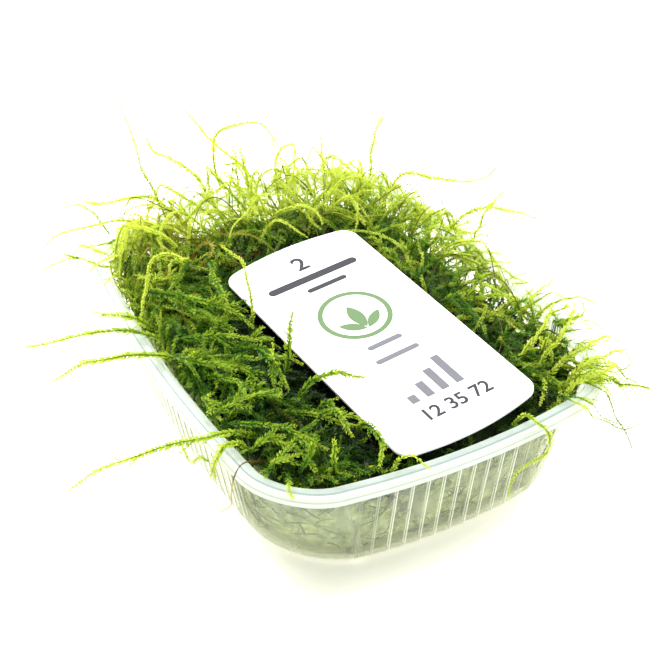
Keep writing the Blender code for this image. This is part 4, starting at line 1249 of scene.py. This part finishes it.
def make_edge_strands(rng, ground, look):
    """Strands along the inside of the rim, on the left and at the front, so that the moss meets the wall."""
    number = 190
    line = outline(WALL_INSET_TOP + WALL + OUTER_CLEARANCE, OPENING_CORNER)
    line = line[(line[:, 0] < 0.034) & (line[:, 1] < 0.030) & ((line[:, 0] < -0.02) | (line[:, 1] < -0.03))]
    places = line[rng.integers(0, len(line), number)] * rng.uniform(0.955, 1.0, (number, 1))
    x, y = places.T
    heading = np.arctan2(x, -y * 0.6) + rng.choice([0, math.pi], number) + rng.normal(0, 0.35, number)
    ranges = (-0.003, -0.001), (-0.0014, 0.0006), (-0.001, 0.0016)
    heights = np.stack([rng.uniform(*limits, number) for limits in ranges], 1)
    routes, counts = lay(rng, ground, x, y, heading, rng.uniform(0.006, 0.013, number), heights, 0.5)
    counts = trim(ground, routes, counts, np.full(number, False))
    keep = counts > 4
    routes, counts, number = routes[keep], counts[keep], int(keep.sum())
    fresh = np.broadcast_to(rng.uniform(0.12, 0.55, (number, 1)), routes.shape[:2])
    strands_in_pieces(rng, look, "edge", routes=routes, counts=counts, leaf=np.full(number, LEAF_LENGTH),
                      stem=np.full(number, STEM_RADIUS), fresh=fresh, dry=np.zeros(number),
                      opening=np.full(number, LEAF_OPENING))


def make_wall_strands(look):
    """Strands pressed against the inside of the wall, seen through it."""
    rng = np.random.default_rng(23)
    number, steps = 900, 30
    margin = WALL + 0.00035
    low = outline(WALL_INSET_BASE + margin, BASE_CORNER - margin)
    high = outline(WALL_INSET_TOP + margin, wall_corner(LEDGE_HEIGHT) - margin)
    ring = np.arange(len(low) + 1)
    run = run_along(np.vstack([high, high[:1]]))
    share = np.linspace(0, 1, steps)[None, :]
    angle = rng.uniform(0, 6.3, (number, 1)) + rng.normal(0, 0.9, (number, 1)) * share
    stride = rng.uniform(0.0012, 0.0060, (number, 1)) / steps
    along = rng.uniform(0, run[-1], (number, 1)) + np.cumsum(stride * np.cos(angle), 1)
    height = rng.uniform(0.003, 0.0205, (number, 1)) + np.cumsum(stride * np.sin(angle), 1)
    height = np.clip(height, 0.0022, 0.0206)
    where = np.interp(along % run[-1], run, ring)
    first = where.astype(int) % len(low)
    after, part = (first + 1) % len(low), (where % 1)[..., None]
    up = (height / LEDGE_HEIGHT)[..., None]
    foot, head = low[first] * (1 - part) + low[after] * part, high[first] * (1 - part) + high[after] * part
    fine = np.concatenate([foot * (1 - up) + head * up, height[..., None]], 2)
    routes, counts = resampled(fine, np.full(number, 0.02))
    outward = np.zeros((number, routes.shape[1], 3))
    flat = routes[..., :2]
    outward[..., :2] = flat / np.linalg.norm(flat * [1.0, 0.75], axis=2, keepdims=True)
    leaf = LEAF_LENGTH * rng.uniform(0.15, 0.50, number)
    fresh = np.broadcast_to(rng.uniform(0.0, 0.30, (number, 1)), routes.shape[:2])
    strands_in_pieces(rng, look, "pressed", routes=routes, counts=counts, leaf=leaf, fresh=fresh,
                      stem=np.full(number, STEM_RADIUS * 0.9), dry=np.zeros(number), facing=outward,
                      opening=np.full(number, LEAF_OPENING))


def make_bed(ground):
    """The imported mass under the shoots, with a lumpy top that falls to the back and right."""
    clear = WALL + BED_WALL_GAP
    heights = np.linspace(0.0022, 0.0178, 12)
    insets = [(WALL_INSET_BASE + BED_FOOT, BASE_CORNER - BED_FOOT, WALL + 0.0004)]
    insets += [(wall_inset(height), wall_corner(height), height) for height in heights]
    rings = []
    for inset, corner, height in insets:
        flat = outline(inset + clear, corner - clear)[::4]
        rings.append(np.column_stack([flat, np.full(len(flat), height)]))
    edge = rings[-1][:, :2]
    lit = [np.ones(len(edge))] * len(rings)
    for share in np.linspace(0.985, 0.02, 34):
        x, y = (edge * share).T
        far = np.clip((y * 0.9 + x * 0.6 - 0.004) / 0.030, 0, 1)
        drop = BED_DROP + LOOSE_DROP * looseness(x, y) + HOLLOW_DROP * hollow(ground, x, y)
        lump = np.array([noise.noise(Vector((a, b, 0.0)) / LUMP_WIDTH) for a, b in edge * share])
        top = np.minimum(ground.height(x, y), BED_TOP + FAR_RISE * far) - drop + LUMP_HEIGHT * lump
        rings.append(np.column_stack([x, y, top]))
        lit.append(0.9 * looseness(x, y))
    points, triangles = capped(rings)
    mesh_object("moss_bed", points, triangles, bed_material(), "moss_mat",
                {"lit": np.append(lit, [1.0, 0.0])}, smooth=True)


def make_moss():
    look = moss_material()
    ground = Ground(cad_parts["moss_mat"])
    for number, (name, region) in enumerate(REGIONS.items()):
        make_region(np.random.default_rng(5 + number), ground, look, name, region)
        make_top_strands(np.random.default_rng(50 + number), ground, look, name, region)
    make_edge_strands(np.random.default_rng(31), ground, look)
    make_wall_strands(look)
    make_fronds(look)
    make_loose_shoots(look)
    make_bed(ground)


# Stage

def make_stage():
    bpy.ops.mesh.primitive_plane_add(size=6.0)
    floor = bpy.context.object
    floor.name = "floor"
    floor.data.materials.append(floor_material())


def area_light(name, place, size, power):
    """A rectangular light that aims at the middle of the tub."""
    data = bpy.data.lights.new(name, "AREA")
    data.shape = "RECTANGLE"
    data.size, data.size_y = size
    data.energy = power
    light = bpy.data.objects.new(name, data)
    light.location = place
    light.rotation_mode = "QUATERNION"
    light.rotation_quaternion = (Vector((0.0, 0.0, 0.02)) - Vector(place)).to_track_quat("-Z", "Y")
    bpy.context.scene.collection.objects.link(light)


def make_lights():
    world = bpy.data.worlds.new("studio")
    world.use_nodes = True
    background = world.node_tree.nodes["Background"]
    background.inputs["Color"].default_value = (1.0, 1.0, 1.0, 1.0)
    background.inputs["Strength"].default_value = 1.15
    scene = bpy.context.scene
    scene.world = world
    area_light("back_light", (-0.05, 0.50, 0.45), (0.5, 0.3), 5.4)
    area_light("glint_light", (-0.22, 0.30, 0.55), (0.08, 0.08), 1.6)
    area_light("top_light", (0.03, -0.04, 0.60), (0.22, 0.22), 2.0)
    area_light("side_light", (0.50, 0.06, 0.30), (0.3, 0.3), 2.4)
    scene.view_settings.view_transform = "Standard"
    scene.view_settings.look = "None"


def make_camera():
    data = bpy.data.cameras.new("camera")
    data.lens = CAMERA_LENS
    data.sensor_width = 36.0
    data.clip_start = 0.01
    camera = bpy.data.objects.new("camera", data)
    forward = Vector((-math.sin(CAMERA_AZIMUTH) * math.cos(CAMERA_ELEVATION),
                      math.cos(CAMERA_AZIMUTH) * math.cos(CAMERA_ELEVATION), -math.sin(CAMERA_ELEVATION)))
    camera.location = CAMERA_TARGET - forward * CAMERA_DISTANCE
    camera.rotation_mode = "QUATERNION"
    camera.rotation_quaternion = forward.to_track_quat("-Z", "Y") @ Quaternion((0, 0, 1), CAMERA_ROLL)
    bpy.context.scene.collection.objects.link(camera)
    bpy.context.scene.camera = camera


make_camera()
make_lights()
make_stage()
make_tub()
make_card()
make_moss()
